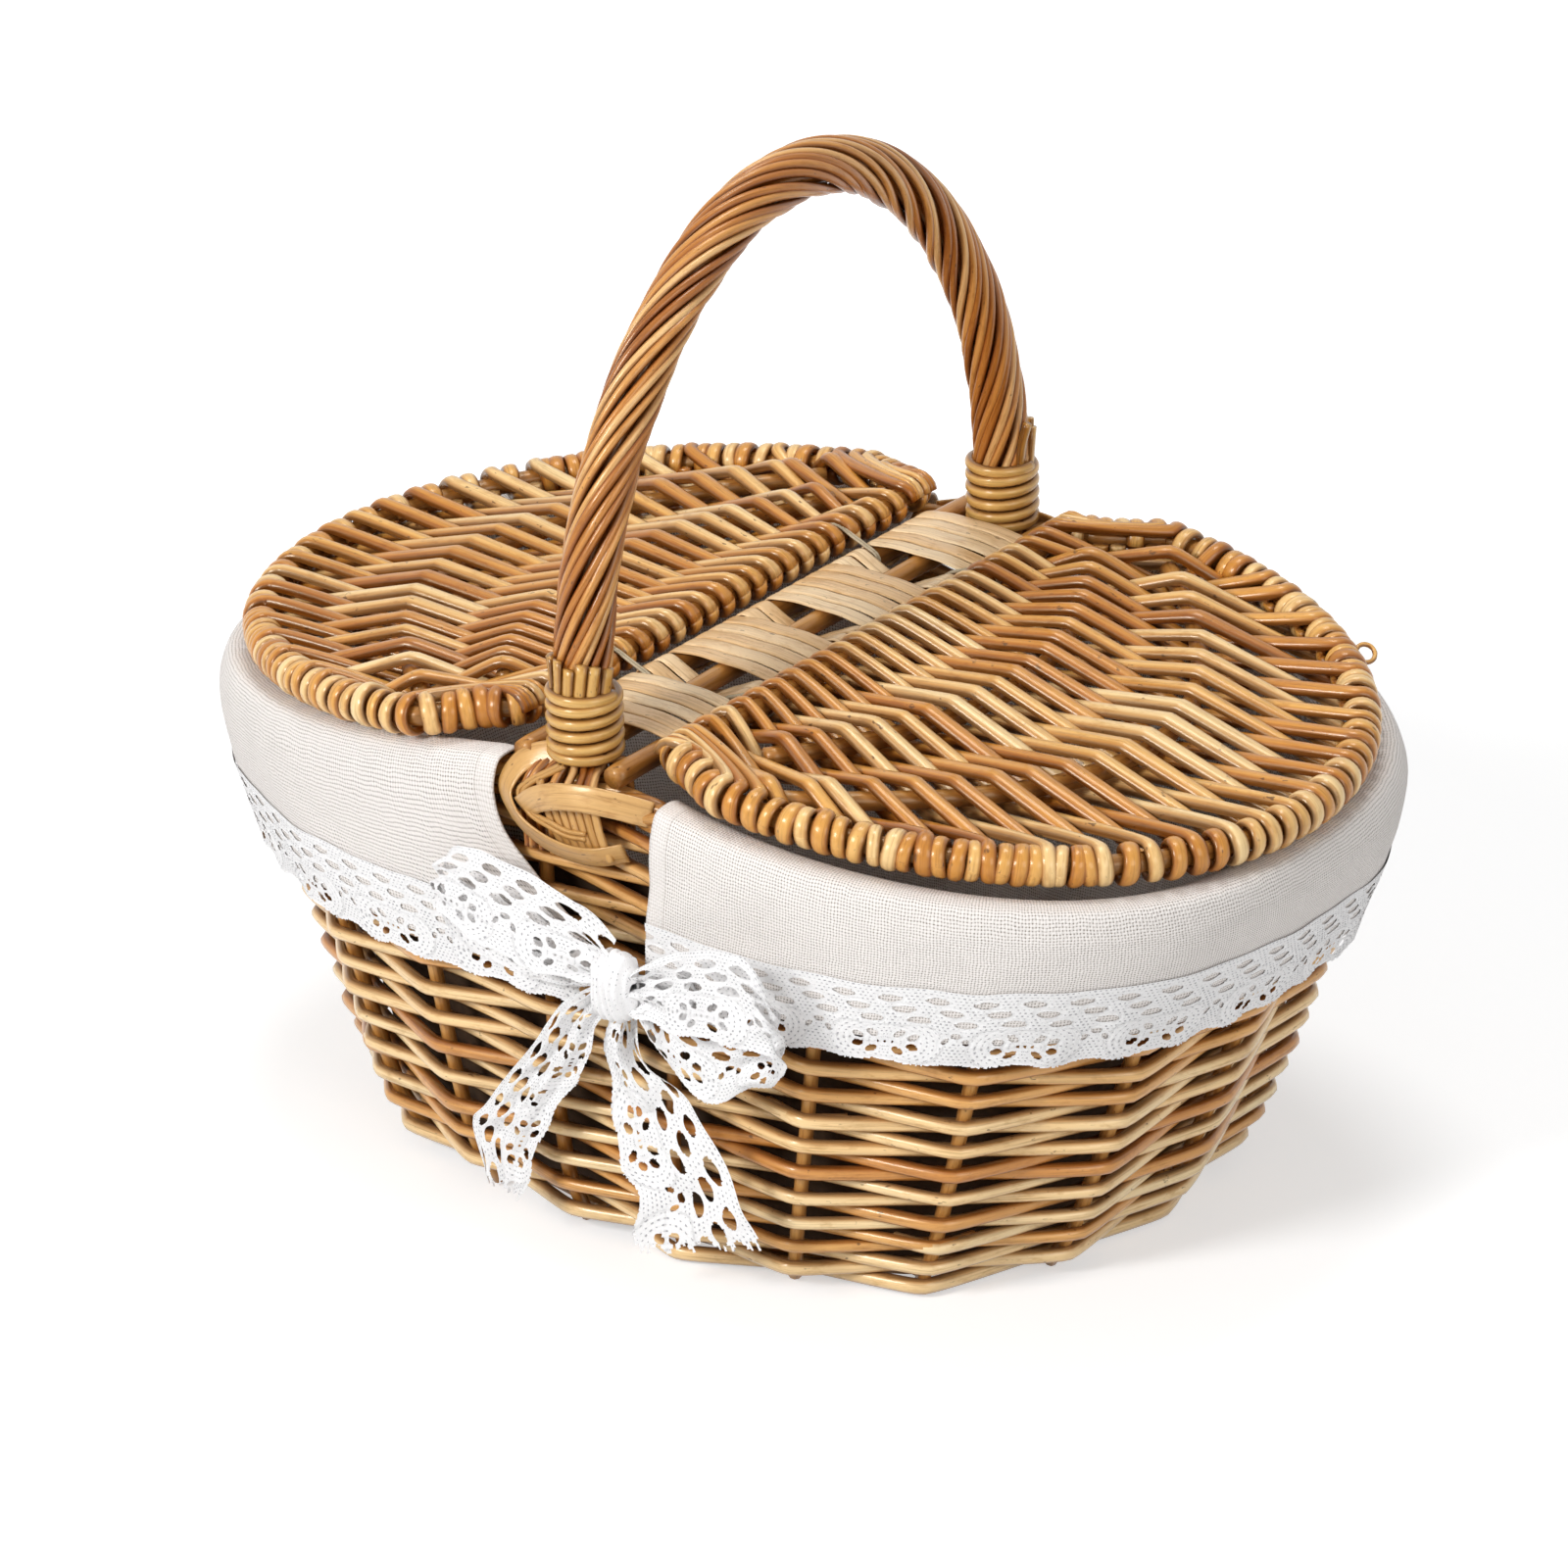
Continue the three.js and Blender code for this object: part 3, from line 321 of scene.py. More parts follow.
class Shader:
    def __init__(self, name):
        self.material = bpy.data.materials.new(name)
        self.material.use_nodes = True
        self.tree = self.material.node_tree
        self.tree.nodes.clear()
        self.out = self.node("OutputMaterial")

    def node(self, kind, inputs=None, **settings):
        node = self.tree.nodes.new("ShaderNode" + kind)
        for key, value in settings.items():
            setattr(node, key, value)
        for key, value in (inputs or {}).items():
            if isinstance(value, bpy.types.NodeSocket):
                self.tree.links.new(value, node.inputs[key])
            else:
                node.inputs[key].default_value = value
        return node

    def math(self, operation, a, b=0.0, c=0.0):
        return self.node("Math", {0: a, 1: b, 2: c}, operation=operation).outputs[0]

    def vector(self, operation, a, b):
        return self.node("VectorMath", {0: a, 1: b}, operation=operation).outputs[0]

    def attribute(self, name, output):
        return self.node("Attribute", attribute_name=name).outputs[output]

    def noise(self, vector, scale, detail=3.0, roughness=0.5):
        inputs = {"Vector": vector, "Scale": scale, "Detail": detail, "Roughness": roughness}
        return self.node("TexNoise", inputs).outputs["Fac"]

    def scaled(self, vector, factors):
        return self.vector("MULTIPLY", vector, factors)

    def fibres(self, grain, stretch, detail=2.0, roughness=0.5):
        """Noise over the grain, stretched by its own factor along each direction."""
        return self.noise(self.scaled(grain, stretch), 1.0, detail, roughness)

    def times(self, a, b):
        return self.math("MULTIPLY", a, b)

    def plus(self, a, b):
        return self.math("ADD", a, b)

    def ramp(self, value, stops):
        node = self.node("ValToRGB", {"Fac": value})
        elements = node.color_ramp.elements
        while len(elements) < len(stops):
            elements.new(0.5)
        for element, (at, colour) in zip(elements, stops):
            element.position = at
            element.color = linear(colour)
        return node.outputs["Color"]

    def mix(self, factor, a, b, blend="MIX"):
        node = self.node("Mix", data_type="RGBA", blend_type=blend)
        b = linear(b) if isinstance(b, str) else b
        for socket, value in ((node.inputs[0], factor), (node.inputs[6], a), (node.inputs[7], b)):
            if isinstance(value, bpy.types.NodeSocket):
                self.tree.links.new(value, socket)
            else:
                socket.default_value = value
        return node.outputs[2]

    def surface(self, colour, roughness, bump=None, distance=0.0003, strength=0.5, **values):
        inputs = {"Base Color": colour, "Roughness": roughness}
        if bump is not None:
            bumped = self.node("Bump", {"Height": bump, "Distance": distance, "Strength": strength})
            inputs["Normal"] = bumped.outputs[0]
        node = self.node("BsdfPrincipled", inputs)
        for key, value in values.items():
            node.inputs[key.replace("_", " ")].default_value = value
        self.tree.links.new(node.outputs[0], self.out.inputs["Surface"])
        return self.material


def willow(name, stops, coat=0.35, spot=0.8, shade_sides=0.9):
    """Varnished willow: a colour for each rod, streaks along it, dark scars, and painted shade at its sides,
    where neighbouring rods shade it.
    """
    shade = Shader(name)
    grain = shade.attribute("grain", "Vector")
    tone = shade.attribute("tone", "Fac")
    offset = shade.node("CombineXYZ", {"X": shade.times(tone, 511.0), "Y": tone, "Z": tone}).outputs[0]
    moved = shade.vector("ADD", grain, offset)
    slow = shade.fibres(moved, (0.02, 0.12, 0.12), 2.0)
    streak = shade.fibres(moved, (0.035, 1.1, 1.1), 4.0, 0.65)
    patch = shade.fibres(moved, (0.11, 0.3, 0.3), 3.0, 0.7)
    scar = shade.fibres(moved, (0.22, 0.45, 0.45), 2.0, 0.6)
    mixed = shade.plus(shade.times(tone, 0.72), shade.times(slow, 0.3))
    colour = shade.ramp(mixed, stops)
    colour = shade.mix(0.85, colour, shade.ramp(streak, [
        (0.28, (0.55, 0.46, 0.36)), (0.5, (0.96, 0.95, 0.93)), (0.75, 1.0)]), "MULTIPLY")
    colour = shade.mix(0.7, colour, shade.ramp(patch, [
        (0.3, (0.72, 0.6, 0.45)), (0.48, 1.0), (0.7, 1.0)]), "MULTIPLY")
    dark = shade.ramp(scar, [(0.68, 0.0), (0.74, spot)])
    colour = shade.mix(dark, colour, "5a3416")
    # painted shade: each rod grows darker towards its sides, as if shaded by its neighbours; shade_sides sets
    # how much
    painted_side_shade = shade.ramp(shade.attribute("side", "Fac"), [
        (0.42, 1.0), (0.76, (0.62, 0.46, 0.32)), (1.0, (0.16, 0.08, 0.04))])
    colour = shade.mix(shade_sides, colour, painted_side_shade, "MULTIPLY")
    rough = shade.math("MULTIPLY_ADD", streak, 0.3, 0.2)
    return shade.surface(colour, rough, shade.plus(streak, shade.times(patch, 0.6)), 0.00035, 0.45,
                         Coat_Weight=coat, Coat_Roughness=0.16, Specular_IOR_Level=0.6,
                         Specular_Tint=(1.0, 0.8, 0.5, 1.0))


WALL_WILLOW = willow(
    "willow_wall", [(0.1, "cc8740"), (0.4, "e8b068"), (0.65, "f6ca8a"), (0.9, "fde4b4")], 0.5)
LID_WILLOW = willow(
    "willow_lid", [(0.08, "a8631f"), (0.35, "d18c36"), (0.62, "eab361"), (0.9, "fbdba2")], 0.4)
WRAP_WILLOW = willow(
    "willow_wrap", [(0.1, "b9843a"), (0.4, "d4a354"), (0.65, "e3b66a"), (0.9, "f2cf8e")], 0.5)
HANDLE_WILLOW = willow(
    "willow_handle", [(0.08, "995418"), (0.35, "c47e36"), (0.62, "dc9f58"), (0.9, "f3c98e")], 0.35)
SKEIN_WILLOW = willow(
    "willow_skein", [(0.1, "dcb27c"), (0.45, "f0cb9a"), (0.9, "fbe2ba")], 0.2, 0.75, 0.0)
LASHING_WILLOW = willow(
    "willow_lashing", [(0.1, "b5823f"), (0.5, "cc9c5c"), (0.9, "dcb076")], 0.35, 0.75, 0.0)
ROD_WILLOW = willow(
    "willow_rod", [(0.1, "9a6228"), (0.5, "bd8440"), (0.9, "d8a564")], 0.25, 0.8, 0.5)


# Wall: rods woven in front of one stake and behind the next, in strands that meet at a stake

WALL_ROWS = 28
WALL_LOW = 3.7
FIRST_STAKE = 0.75
WEAVER_RADIUS = 2.5
WEAVER_GAP = 0.15
STRAND_STAKES = 31
KINK_SHARP = 0.985
STEPS_PER_STAKE = 16


def stake_angle(t):
    """Angle of the stakes, counted from the first; a share between two of them lies between their angles."""
    return angle_at((np.asarray(t, float) + FIRST_STAKE) / STAKES)


def kinked(t):
    """A wave from 1 at one stake to -1 at the next, straight between them and a little rounded at each."""
    return np.arcsin(KINK_SHARP * np.cos(math.pi * t)) / math.asin(KINK_SHARP)


def between_stakes(t, height, offset):
    """Places on the straight lines between neighbouring stakes, moved out from the wall's middle surface."""
    before = np.floor(t)
    share = (t - before)[:, None]
    near, near_out = wall_at(stake_angle(before), height)
    far, far_out = wall_at(stake_angle(before + 1), height)
    out = unit(near_out * (1 - share) + far_out * share)
    return near * (1 - share) + far * share + out * offset[:, None], out


def wall_weave():
    """Strands of uneven length end to end, whose ends turn in a little at the stake where they meet."""
    build = Build()
    total = WALL_ROWS * STAKES
    start = 0
    while start < total:
        end = min(start + STRAND_STAKES + 2 * int(rng.integers(-6, 7)), total)
        t = np.arange(start - 0.3, end + 0.3, 1 / STEPS_PER_STAKE)
        height = WALL_LOW + (weave_top(stake_angle(t)) - WALL_LOW) * np.clip(t / total, 0, 1)
        radius = WEAVER_RADIUS * rng.uniform(0.9, 1.08) * (1 - 0.1 * (t - start) / (end - start))
        wave = kinked(t)
        tuck = np.clip(np.maximum(start - t, t - end), 0, 1)
        pressed = np.abs(wave) ** 6
        height = height + rng.normal(0, 0.2) + 0.3 * np.sin(t * 0.9 + rng.uniform(0, 6))
        height = height + tuck * rng.uniform(-4, 4)
        offset = (STAKE_RADIUS + WEAVER_GAP + radius * (1 - 0.1 * pressed)) * wave - 6 * tuck
        point, normal = between_stakes(t, height, offset)
        build.rod(point, normal, radius * (1 - 0.1 * pressed), radius * (1 + 0.05 * pressed), sides=10)
        start = end
    return build.make("wall_rods", WALL_WILLOW)


BASE_RINGS = 20
BASE_INSET = 9.0
BASE_MIDDLE_SHARE = 0.14
BASE_HEIGHT, BASE_KICK_UP, BASE_RIPPLE = 3.0, 1.5, 1.35
BASE_SPOKE_HEIGHT, BASE_SPOKE_INSET = 3.2, 4.0


def base_weave():
    """Rings woven over and under spokes, round a cross of short rods in the middle."""
    build = Build()
    t = np.arange(0, STAKES, 1 / 8)
    edge, _ = wall_at(stake_angle(t), 0.0, -BASE_INSET)
    for r in range(1, BASE_RINGS + 1):
        share = BASE_MIDDLE_SHARE + (1 - BASE_MIDDLE_SHARE) * r / BASE_RINGS
        wave = BASE_RIPPLE * np.cos(math.pi * t) * (1 if r % 2 else -1)
        height = BASE_HEIGHT + BASE_KICK_UP * (1 - share ** 2) + wave
        build.rod(stacked(*edge.T[:2] * share, height), UP, 1.6, 2.6, sides=8, closed=True)
    for k in range(STAKES):
        out, _ = wall_at(stake_angle(k), 0.0, -BASE_SPOKE_INSET)
        line = np.linspace(out * 0.05, out, 12)
        line[:, 2] = BASE_SPOKE_HEIGHT
        build.rod(line, UP, 1.5, 2.2, sides=8)
    for x in np.linspace(-14, 14, 6):
        build.rod([(x, -24, 3.4), (x, 24, 3.4)], UP, 2.0, 2.4, sides=8)
        build.rod([(-26, x * 1.2, 2.4), (26, x * 1.2, 2.4)], UP, 2.0, 2.4, sides=8)
    return build.make("base_rods", WALL_WILLOW)


STAKE_FOOT = 2.6
BORDER_STRANDS = 6
BORDER_STRAND_RADIUS = 2.2
BORDER_ORBIT = 3.5
BORDER_TURNS = 17
BORDER_SAMPLES = 700


def stakes_and_border():
    """The upright rods, and the rods twisted along the rim that they end in."""
    build = Build()
    for k in range(STAKES):
        angle = stake_angle(k)
        heights = np.linspace(STAKE_FOOT, float(weave_top(angle)) + BORDER_RISE, 30)
        point, normal = wall_at(angle, heights)
        build.rod(point, normal, STAKE_RADIUS, STAKE_RADIUS, sides=10)
    share = np.arange(BORDER_SAMPLES) / BORDER_SAMPLES
    angle = angle_at(share)
    centre, normal = wall_at(angle, weave_top(angle) + BORDER_RISE)
    for k in range(BORDER_STRANDS):
        away = around(normal, 2 * math.pi * (BORDER_TURNS * share + k / BORDER_STRANDS))
        size = BORDER_STRAND_RADIUS
        build.rod(centre + away * BORDER_ORBIT, away, size, size, sides=8, closed=True)
    return build.make("stakes_and_border_rods", ROD_WILLOW)


place(wall_weave(), "basket", "willow", "wall_weave")
place(base_weave(), "basket", "willow", "base_mat")
place(stakes_and_border(), "basket", "willow_dark", "stakes_and_border")


# Handle: thin rods twisted round a core, two for each rod of the solids

HANDLE_RODS = 16
HANDLE_ROD_RADIUS = 1.55
HANDLE_ORBIT = 8.0
RIM_FRONT_Y = RIM[1] - WAIST_DEPTH
BORDER_TOP = WALL_HEIGHT + BORDER_RISE + BORDER_RADIUS
HANDLE_CORE_RADIUS = 5.6
HANDLE_FOOT_SPREAD = 1.69
FOOT_WRAP_TOP = 200.0
FOOT_WRAP_BOTTOM = 176.6
FOOT_WRAP_TURNS, FOOT_WRAP_PITCH = 4.6, 4.45
FOOT_WRAP_ORBIT, FOOT_WRAP_DEPTH, FOOT_WRAP_WIDTH = 11.05, 1.75, 2.02
FOOT_BUTTS, FOOT_BUTT_ORBIT, FOOT_BUTT_LENGTH = 7, 9.6, 19


def arch(samples=240):
    """Points of the handle's middle line and the directions out of the arch, evenly spaced."""
    turn = np.linspace(0, math.pi, 4001)
    power = 2 / ARCH_POWER
    c, s = np.cos(turn), np.sin(turn)
    fine = np.stack([np.zeros_like(turn), -HANDLE_HALF_SPAN * np.sign(c) * np.abs(c) ** power,
                     HANDLE_SPRING + HANDLE_RISE * np.maximum(s, 0) ** power], -1)
    run = run_along(fine)
    even = np.linspace(0, run[-1], samples)
    point = carried(fine, run, even)
    along = unit(np.gradient(point, axis=0))
    out = np.cross(np.array([1.0, 0, 0]), along)
    return point, out, even / run[-1]


def handle_foot(turn, sign):
    """The lower end of a handle rod, which straddles the border."""
    across, outward = math.sin(turn) * HANDLE_ORBIT, math.cos(turn) * HANDLE_ORBIT
    outside = 1 if outward > 0 else -1
    spread = across * HANDLE_FOOT_SPREAD
    low = RIM_FRONT_Y + outside * (BORDER_RADIUS + HANDLE_ROD_RADIUS + 2.5)
    shoulder = RIM_FRONT_Y + 4.0 if outside > 0 else HANDLE_HALF_SPAN - 6.0
    places = [(spread, low, BORDER_TOP - 25.8), (spread, low, BORDER_TOP - 3.5),
              ((spread + across) / 2, shoulder, BORDER_TOP + 2.7),
              (across, HANDLE_HALF_SPAN + outward, 176.0)]
    return [(x, sign * y, z) for x, y, z in places]


def handle_rods(index):
    """The two thin rods of one handle rod of the solids, from foot to foot."""
    build = Build()
    centre, out, share = arch()
    side = np.array([1.0, 0, 0])
    for half in range(2):
        start = 2 * math.pi * (index + 0.25 + 0.5 * half) / (HANDLE_RODS / 2)
        wander = 0.25 * np.sin(share * rng.uniform(14, 22) + rng.uniform(0, 6))
        turn = start + 2 * math.pi * HANDLE_TWISTS * share + wander * 0.35
        orbit = HANDLE_ORBIT + 0.35 * np.sin(share * rng.uniform(9, 17) + rng.uniform(0, 6))
        away = out * np.cos(turn)[:, None] + side * np.sin(turn)[:, None]
        body = centre + away * orbit[:, None]
        front = handle_foot(start, -1)
        rear = handle_foot(start + 2 * math.pi * HANDLE_TWISTS, 1)[::-1]
        low, = through(np.concatenate([front, body[:2]]), 1.5)
        high, = through(np.concatenate([body[-2:], rear]), 1.5)
        points = np.concatenate([low[:-1], body[2:-2], high[1:]])
        axis = points.copy()
        axis[:len(low)] = [0, -HANDLE_HALF_SPAN, 0]
        axis[:, 2] = points[:, 2]
        axis[-len(high):, 1] = HANDLE_HALF_SPAN
        axis[-len(high):, 0] = 0
        normals = points - axis
        normals[len(low) - 1:len(low) - 1 + len(body) - 4] = away[2:-2]
        radius = HANDLE_ROD_RADIUS * (1 + rng.uniform(-0.1, 0.16))
        build.rod(points, unit(normals), radius, radius, sides=9)
    return build.make(f"handle_twist_{index + 1}", HANDLE_WILLOW)


def handle_core():
    build = Build()
    centre, _, _ = arch(120)
    foot = [(0, -HANDLE_HALF_SPAN, BORDER_TOP), (0, HANDLE_HALF_SPAN, BORDER_TOP)]
    points = np.concatenate([[foot[0]], centre, [foot[1]]])
    build.rod(points, (1, 0, 0), HANDLE_CORE_RADIUS, HANDLE_CORE_RADIUS, sides=12, tone=0.0)
    return build.make("handle_core_rod", HANDLE_WILLOW)


def foot_wrap(name, sign):
    """Five turns of a flattened rod round the foot, and the cut ends of short rods above them."""
    build = Build()
    t = np.arange(-0.6, 5.05, 1 / 40)
    turn = 2 * math.pi * t
    normal = stacked(np.cos(turn), np.sin(turn), 0.0)
    points = normal * FOOT_WRAP_ORBIT + np.array([0, sign * HANDLE_HALF_SPAN, 0])
    points[:, 2] = FOOT_WRAP_BOTTOM + 2.2 + FOOT_WRAP_PITCH * np.clip(t, 0, FOOT_WRAP_TURNS)
    build.rod(points, normal, FOOT_WRAP_DEPTH, FOOT_WRAP_WIDTH, sides=12, tone=0.6)
    for k in range(FOOT_BUTTS):
        angle = -math.pi / 2 + (k - 3) * 0.42 + rng.uniform(-0.06, 0.06) + (0 if sign < 0 else math.pi)
        lean = np.array([math.cos(angle + 1.57), math.sin(angle + 1.57), 0]) * 2.4
        away = np.array([math.cos(angle), math.sin(angle), 0])
        foot = np.array([0, sign * HANDLE_HALF_SPAN, FOOT_WRAP_TOP - 8]) + away * FOOT_BUTT_ORBIT
        top = foot + UP * (FOOT_BUTT_LENGTH + rng.uniform(-2.5, 2.5)) + lean + away * 0.9
        build.rod(np.linspace(foot, top, 6), away, 1.1, 2.2, sides=8, tone=0.25 + 0.3 * rng.random())
    if sign > 0:
        start = np.array([8.5, sign * HANDLE_HALF_SPAN - 2, FOOT_WRAP_TOP - 4])
        line = through([start, start + (1.5, 0, 12), start + (3.6, 0.4, 20)], 1.0)[0]
        build.rod(line, (1, 0, 0), 1.5, 1.8, sides=8, tone=0.1)
    return build.make(name, WRAP_WILLOW)


for number in range(8):
    place(handle_rods(number), "basket", "willow_dark", f"handle_rod_{number + 1}")
place(handle_core(), "basket", "willow_dark", "handle_core")
place(foot_wrap("front_foot_binding", -1), "basket", "skein", "front_foot_wrap")
place(foot_wrap("rear_foot_binding", 1), "basket", "skein", "rear_foot_wrap")


# Lashing: skeins crossed over a fan of rods below each foot, whose rods reach out to the lashing's face

LASHING_FACE = 131.0


def lashing(name, sign):
    """Points are x, the distance out from the lashing's face, and z, seen from the front."""
    build = Build()

    def band(points, width, thick, tone, corner=3.0):
        line, = through(points, 1.2)
        line[:, 1] += LASHING_FACE
        normal = unit(stacked(line[:, 0] * 0.015, 1.0, 0.5 * np.tanh((line[:, 2] - 166) / 5)))
        line *= [-sign, sign, 1]
        normal *= [-sign, sign, 1]
        build.rod(line, normal, thick, width, sides=12, tone=tone, corner=corner)

    for k in range(7):
        top, foot = -5 + 3.5 * k, 3.5 + 3.2 * k
        band([(top - 2, -1.2, 171), (top, -0.4, 166), ((top + foot) / 2, 0.9, 158.5), (foot, 0.4, 150.5)],
             1.45, 1.2, 0.1 + 0.45 * rng.random(), 2.0)
    band([(-7, -10, 178), (-17, -5, 174), (-20.5, 0, 165.5), (-15, 1.9, 157.5), (-5, 2.6, 152.5),
          (7, 2.6, 150.5), (18, 1.8, 151.5), (27, -2, 154)], 4.3, 0.65, 0.55)
    for inner in (5.8, 7.6):
        band([(-8 + inner, -6, 176), (-20.5 + inner, 0.4, 166), (-15 + inner * 0.9, 1.8, 158 + inner * 0.35),
              (-5 + inner * 0.6, 2.6, 152.6 + inner * 0.9), (7, 2.6, 150.5 + inner), (14, 2, 151 + inner)],
             0.95, 0.8, 0.3, 2.0)
    band([(-12, 1.6, 161), (-5, 3.6, 166.5), (4, 4.3, 170.2), (14, 2.6, 171.4), (25, -1.5, 170.2),
          (35, -6, 168)], 4.5, 0.65, 0.8)
    return build.make(name, LASHING_WILLOW)


place(lashing("front_lashing_skeins", -1), "basket", "skein", "front_lashing")
place(lashing("rear_lashing_skeins", 1), "basket", "skein", "rear_lashing")


# Bridge: side rods, centre rod, wide skeins woven across them and the cords that hold the lids

SKEIN_GAP = 0.8
LOOP_Y = 7 * WRAP_PITCH
LOOP_HALF_SPACE = 1.7
UNDER_SPAN = 14.6
BRIDGE_GROUPS = [  # from y, to y, and whether the skeins go over the centre rod
    (-BRIDGE_HALF_SPAN, -LOOP_Y - LOOP_HALF_SPACE, True),
    (-LOOP_Y + LOOP_HALF_SPACE, -LOOP_Y + LOOP_HALF_SPACE + UNDER_SPAN, False),
    (-LOOP_Y + LOOP_HALF_SPACE + UNDER_SPAN + SKEIN_GAP, -UNDER_SPAN / 2 - SKEIN_GAP, True),
    (-UNDER_SPAN / 2, UNDER_SPAN / 2, False)]
BRIDGE_GROUPS += [(-b, -a, over) for a, b, over in BRIDGE_GROUPS[2::-1]]
SKEIN_HALF_THICKNESS, SKEIN_WIDTH = 0.55, 7.6


def bridge_skein(number, low, high, over):
    """A group of flat skeins side by side, over or under the centre rod and round both side rods."""
    build = Build()
    orbit = BRIDGE_ROD_RADIUS + 0.9
    middle = CENTRE_ROD_RISE + (4.6 if over else -4.6)
    count = max(round((high - low) / SKEIN_WIDTH), 1)
    width = (high - low) / count
    for k in range(count):
        y = low + width * (k + 0.5)
        right = [(BRIDGE_ROD_X + orbit * math.cos(a), orbit * math.sin(a), math.cos(a), math.sin(a))
                 for a in np.linspace(-0.62 * math.pi, math.pi / 2, 9)]
        right += [(BRIDGE_ROD_X * 0.52, (orbit + middle) / 2 + (0.6 if over else 0), 0, 1), (0, middle, 0, 1)]
        line = right + [(-x, z, -nx, nz) for x, z, nx, nz in right[-2::-1]]
        lean = rng.uniform(-0.5, 0.5)
        points = [(x, y + lean * x / 20 + rng.uniform(-0.12, 0.12), BRIDGE_ROD_Z + z) for x, z, _, _ in line]
        normals = [(nx, 0, nz) for _, _, nx, nz in line]
        points, normals = through(points, 1.0, (normals,))
        build.rod(points, unit(normals), SKEIN_HALF_THICKNESS, width / 2 * rng.uniform(0.9, 0.95),
                  sides=14, corner=2.8, tone=rng.uniform(0.15, 0.95))
    return build.make(f"bridge_strips_{number}", SKEIN_WILLOW)


def straight_rod(name, start, end, radius, tone):
    build = Build()
    steps = int(abs(end[1] - start[1]) / 4)
    line = np.linspace(start, end, steps + 1)
    swell = 1 + 0.05 * np.sin(line[:, 1] * 0.11 + tone * 9)
    taper = np.ones(steps + 1)
    taper[[0, -1]] = 0.9
    size = radius * swell * taper
    build.rod(line, UP, size, size, sides=16, tone=tone)
    return build.make(name, ROD_WILLOW)


def hinge_cord(name, side, y):
    """Two turns of cord round a side rod of the bridge and the hinge rod of a lid."""
    build = Build()
    for k in range(2):
        place_y = y + (k - 0.5) * 1.1
        points, normals = [], []
        tilt = math.atan2(HINGE_Z - BRIDGE_ROD_Z, HINGE_X - BRIDGE_ROD_X)
        for (x, z, radius), start in (((BRIDGE_ROD_X, BRIDGE_ROD_Z, BRIDGE_ROD_RADIUS), math.pi / 2),
                                      ((HINGE_X, HINGE_Z, LID_ROD_RADIUS), -math.pi / 2)):
            for i in range(9):
                turn = tilt + start + i * math.pi / 8
                away = np.array([side * math.cos(turn), 0, math.sin(turn)])
                points.append(np.array([side * x, place_y + 0.3 * math.sin(i), z]) + away * (radius + 0.75))
                normals.append(away)
        build.rod(points, normals, 0.5, 0.5, sides=8, closed=True, tone=0.5)
    return build.make(name, CORD)


def willow_cord():
    shade = Shader("cord")
    grain = shade.attribute("grain", "Vector")
    twist = shade.fibres(grain, (1.4, 2.0, 2.0), 3.0)
    colour = shade.ramp(twist, [(0.3, "a8987c"), (0.7, "cdbfa3")])
    return shade.surface(colour, 0.85, twist, 0.0003, 0.6)


CORD = willow_cord()
for number, group in enumerate(BRIDGE_GROUPS):
    place(bridge_skein(number + 1, *group), "basket", "skein", f"bridge_skein_{number + 1}")
for side_name, side_sign in (("left", -1), ("right", 1)):
    reach = RIM_FRONT_Y + 5
    rod_x = side_sign * BRIDGE_ROD_X
    rod = straight_rod(f"{side_name}_bridge_side_rod", (rod_x, -reach, BRIDGE_ROD_Z),
                       (rod_x, reach, BRIDGE_ROD_Z), BRIDGE_ROD_RADIUS, 0.4)
    place(rod, "basket", "willow", f"{side_name}_bridge_rod")
    for end_name, end_sign in (("front", -1), ("rear", 1)):
        cord = hinge_cord(f"{side_name}_{end_name}_hinge_cord", side_sign, end_sign * LOOP_Y)
        place(cord, "basket", "cord", f"{side_name}_{end_name}_hinge_loop")
centre_rod = straight_rod("bridge_middle_rod", (0, -BRIDGE_HALF_SPAN, BRIDGE_ROD_Z + CENTRE_ROD_RISE),
                          (0, BRIDGE_HALF_SPAN, BRIDGE_ROD_Z + CENTRE_ROD_RISE), CENTRE_ROD_RADIUS, 0.62)
place(centre_rod, "basket", "willow", "bridge_centre_rod")


# Lids, drawn flat: u away from the hinge, v along it, w up

LID_REAR, LID_FRONT = 128.0, 120.0
# Each rib: its middle's reach, its half span, where its curve would meet the hinge, and its radius
RIBS = {"inner": (52.0, 90.0, 118.0, 3.2), "outer": (108.0, 110.0, 139.0, 3.2)}
STRAND_HALF_WIDTH = 2.55
STRAND_WIDENING = 1.3
STRAND_HALF_DEPTH = 2.0
BAND_HALF_WIDTH = 2.9
BAND_HALF_DEPTH = 1.45
BAND_ORBIT = 5.4
BAND_PITCH = 5.6
PAIR_HALF_SPACE = 2.2
FAN_MIDDLE, FAN_ENDS = 0.7, 0.97
CURL_V, CURL_SIZE, CURL_STAND_OFF = 97.6, 3.3, 8.6
LID_CORNER = 9.0
CORNER_STRANDS = (101.3, 103.4, 105.4, 107.3, 109.1, 110.8)


def lid_space(side, points):
    """Places on the closed basket of points of a flat lid."""
    c, s = math.cos(LID_SLOPE), math.sin(LID_SLOPE)
    u, v, w = points[:, 0], points[:, 1], points[:, 2]
    return np.stack([side * (HINGE_X + u * c + w * s), side * v, HINGE_Z - u * s + w * c], -1)


def rim_point(turn):
    """Places on the rim, where turn runs from -90 degrees at the front to 90 degrees at the rear."""
    v = np.sin(turn)
    half_width = np.where(v > 0, LID_REAR, LID_FRONT)
    return np.stack([LID_WIDE + (LID_REACH - LID_WIDE) * np.cos(turn), half_width * v, 0 * v], -1)


def rib_reach(rib, v):
    """How far from the hinge a rib is at v."""
    middle, _, meets, _ = RIBS[rib]
    return middle * (1 - (v / meets) ** 2)


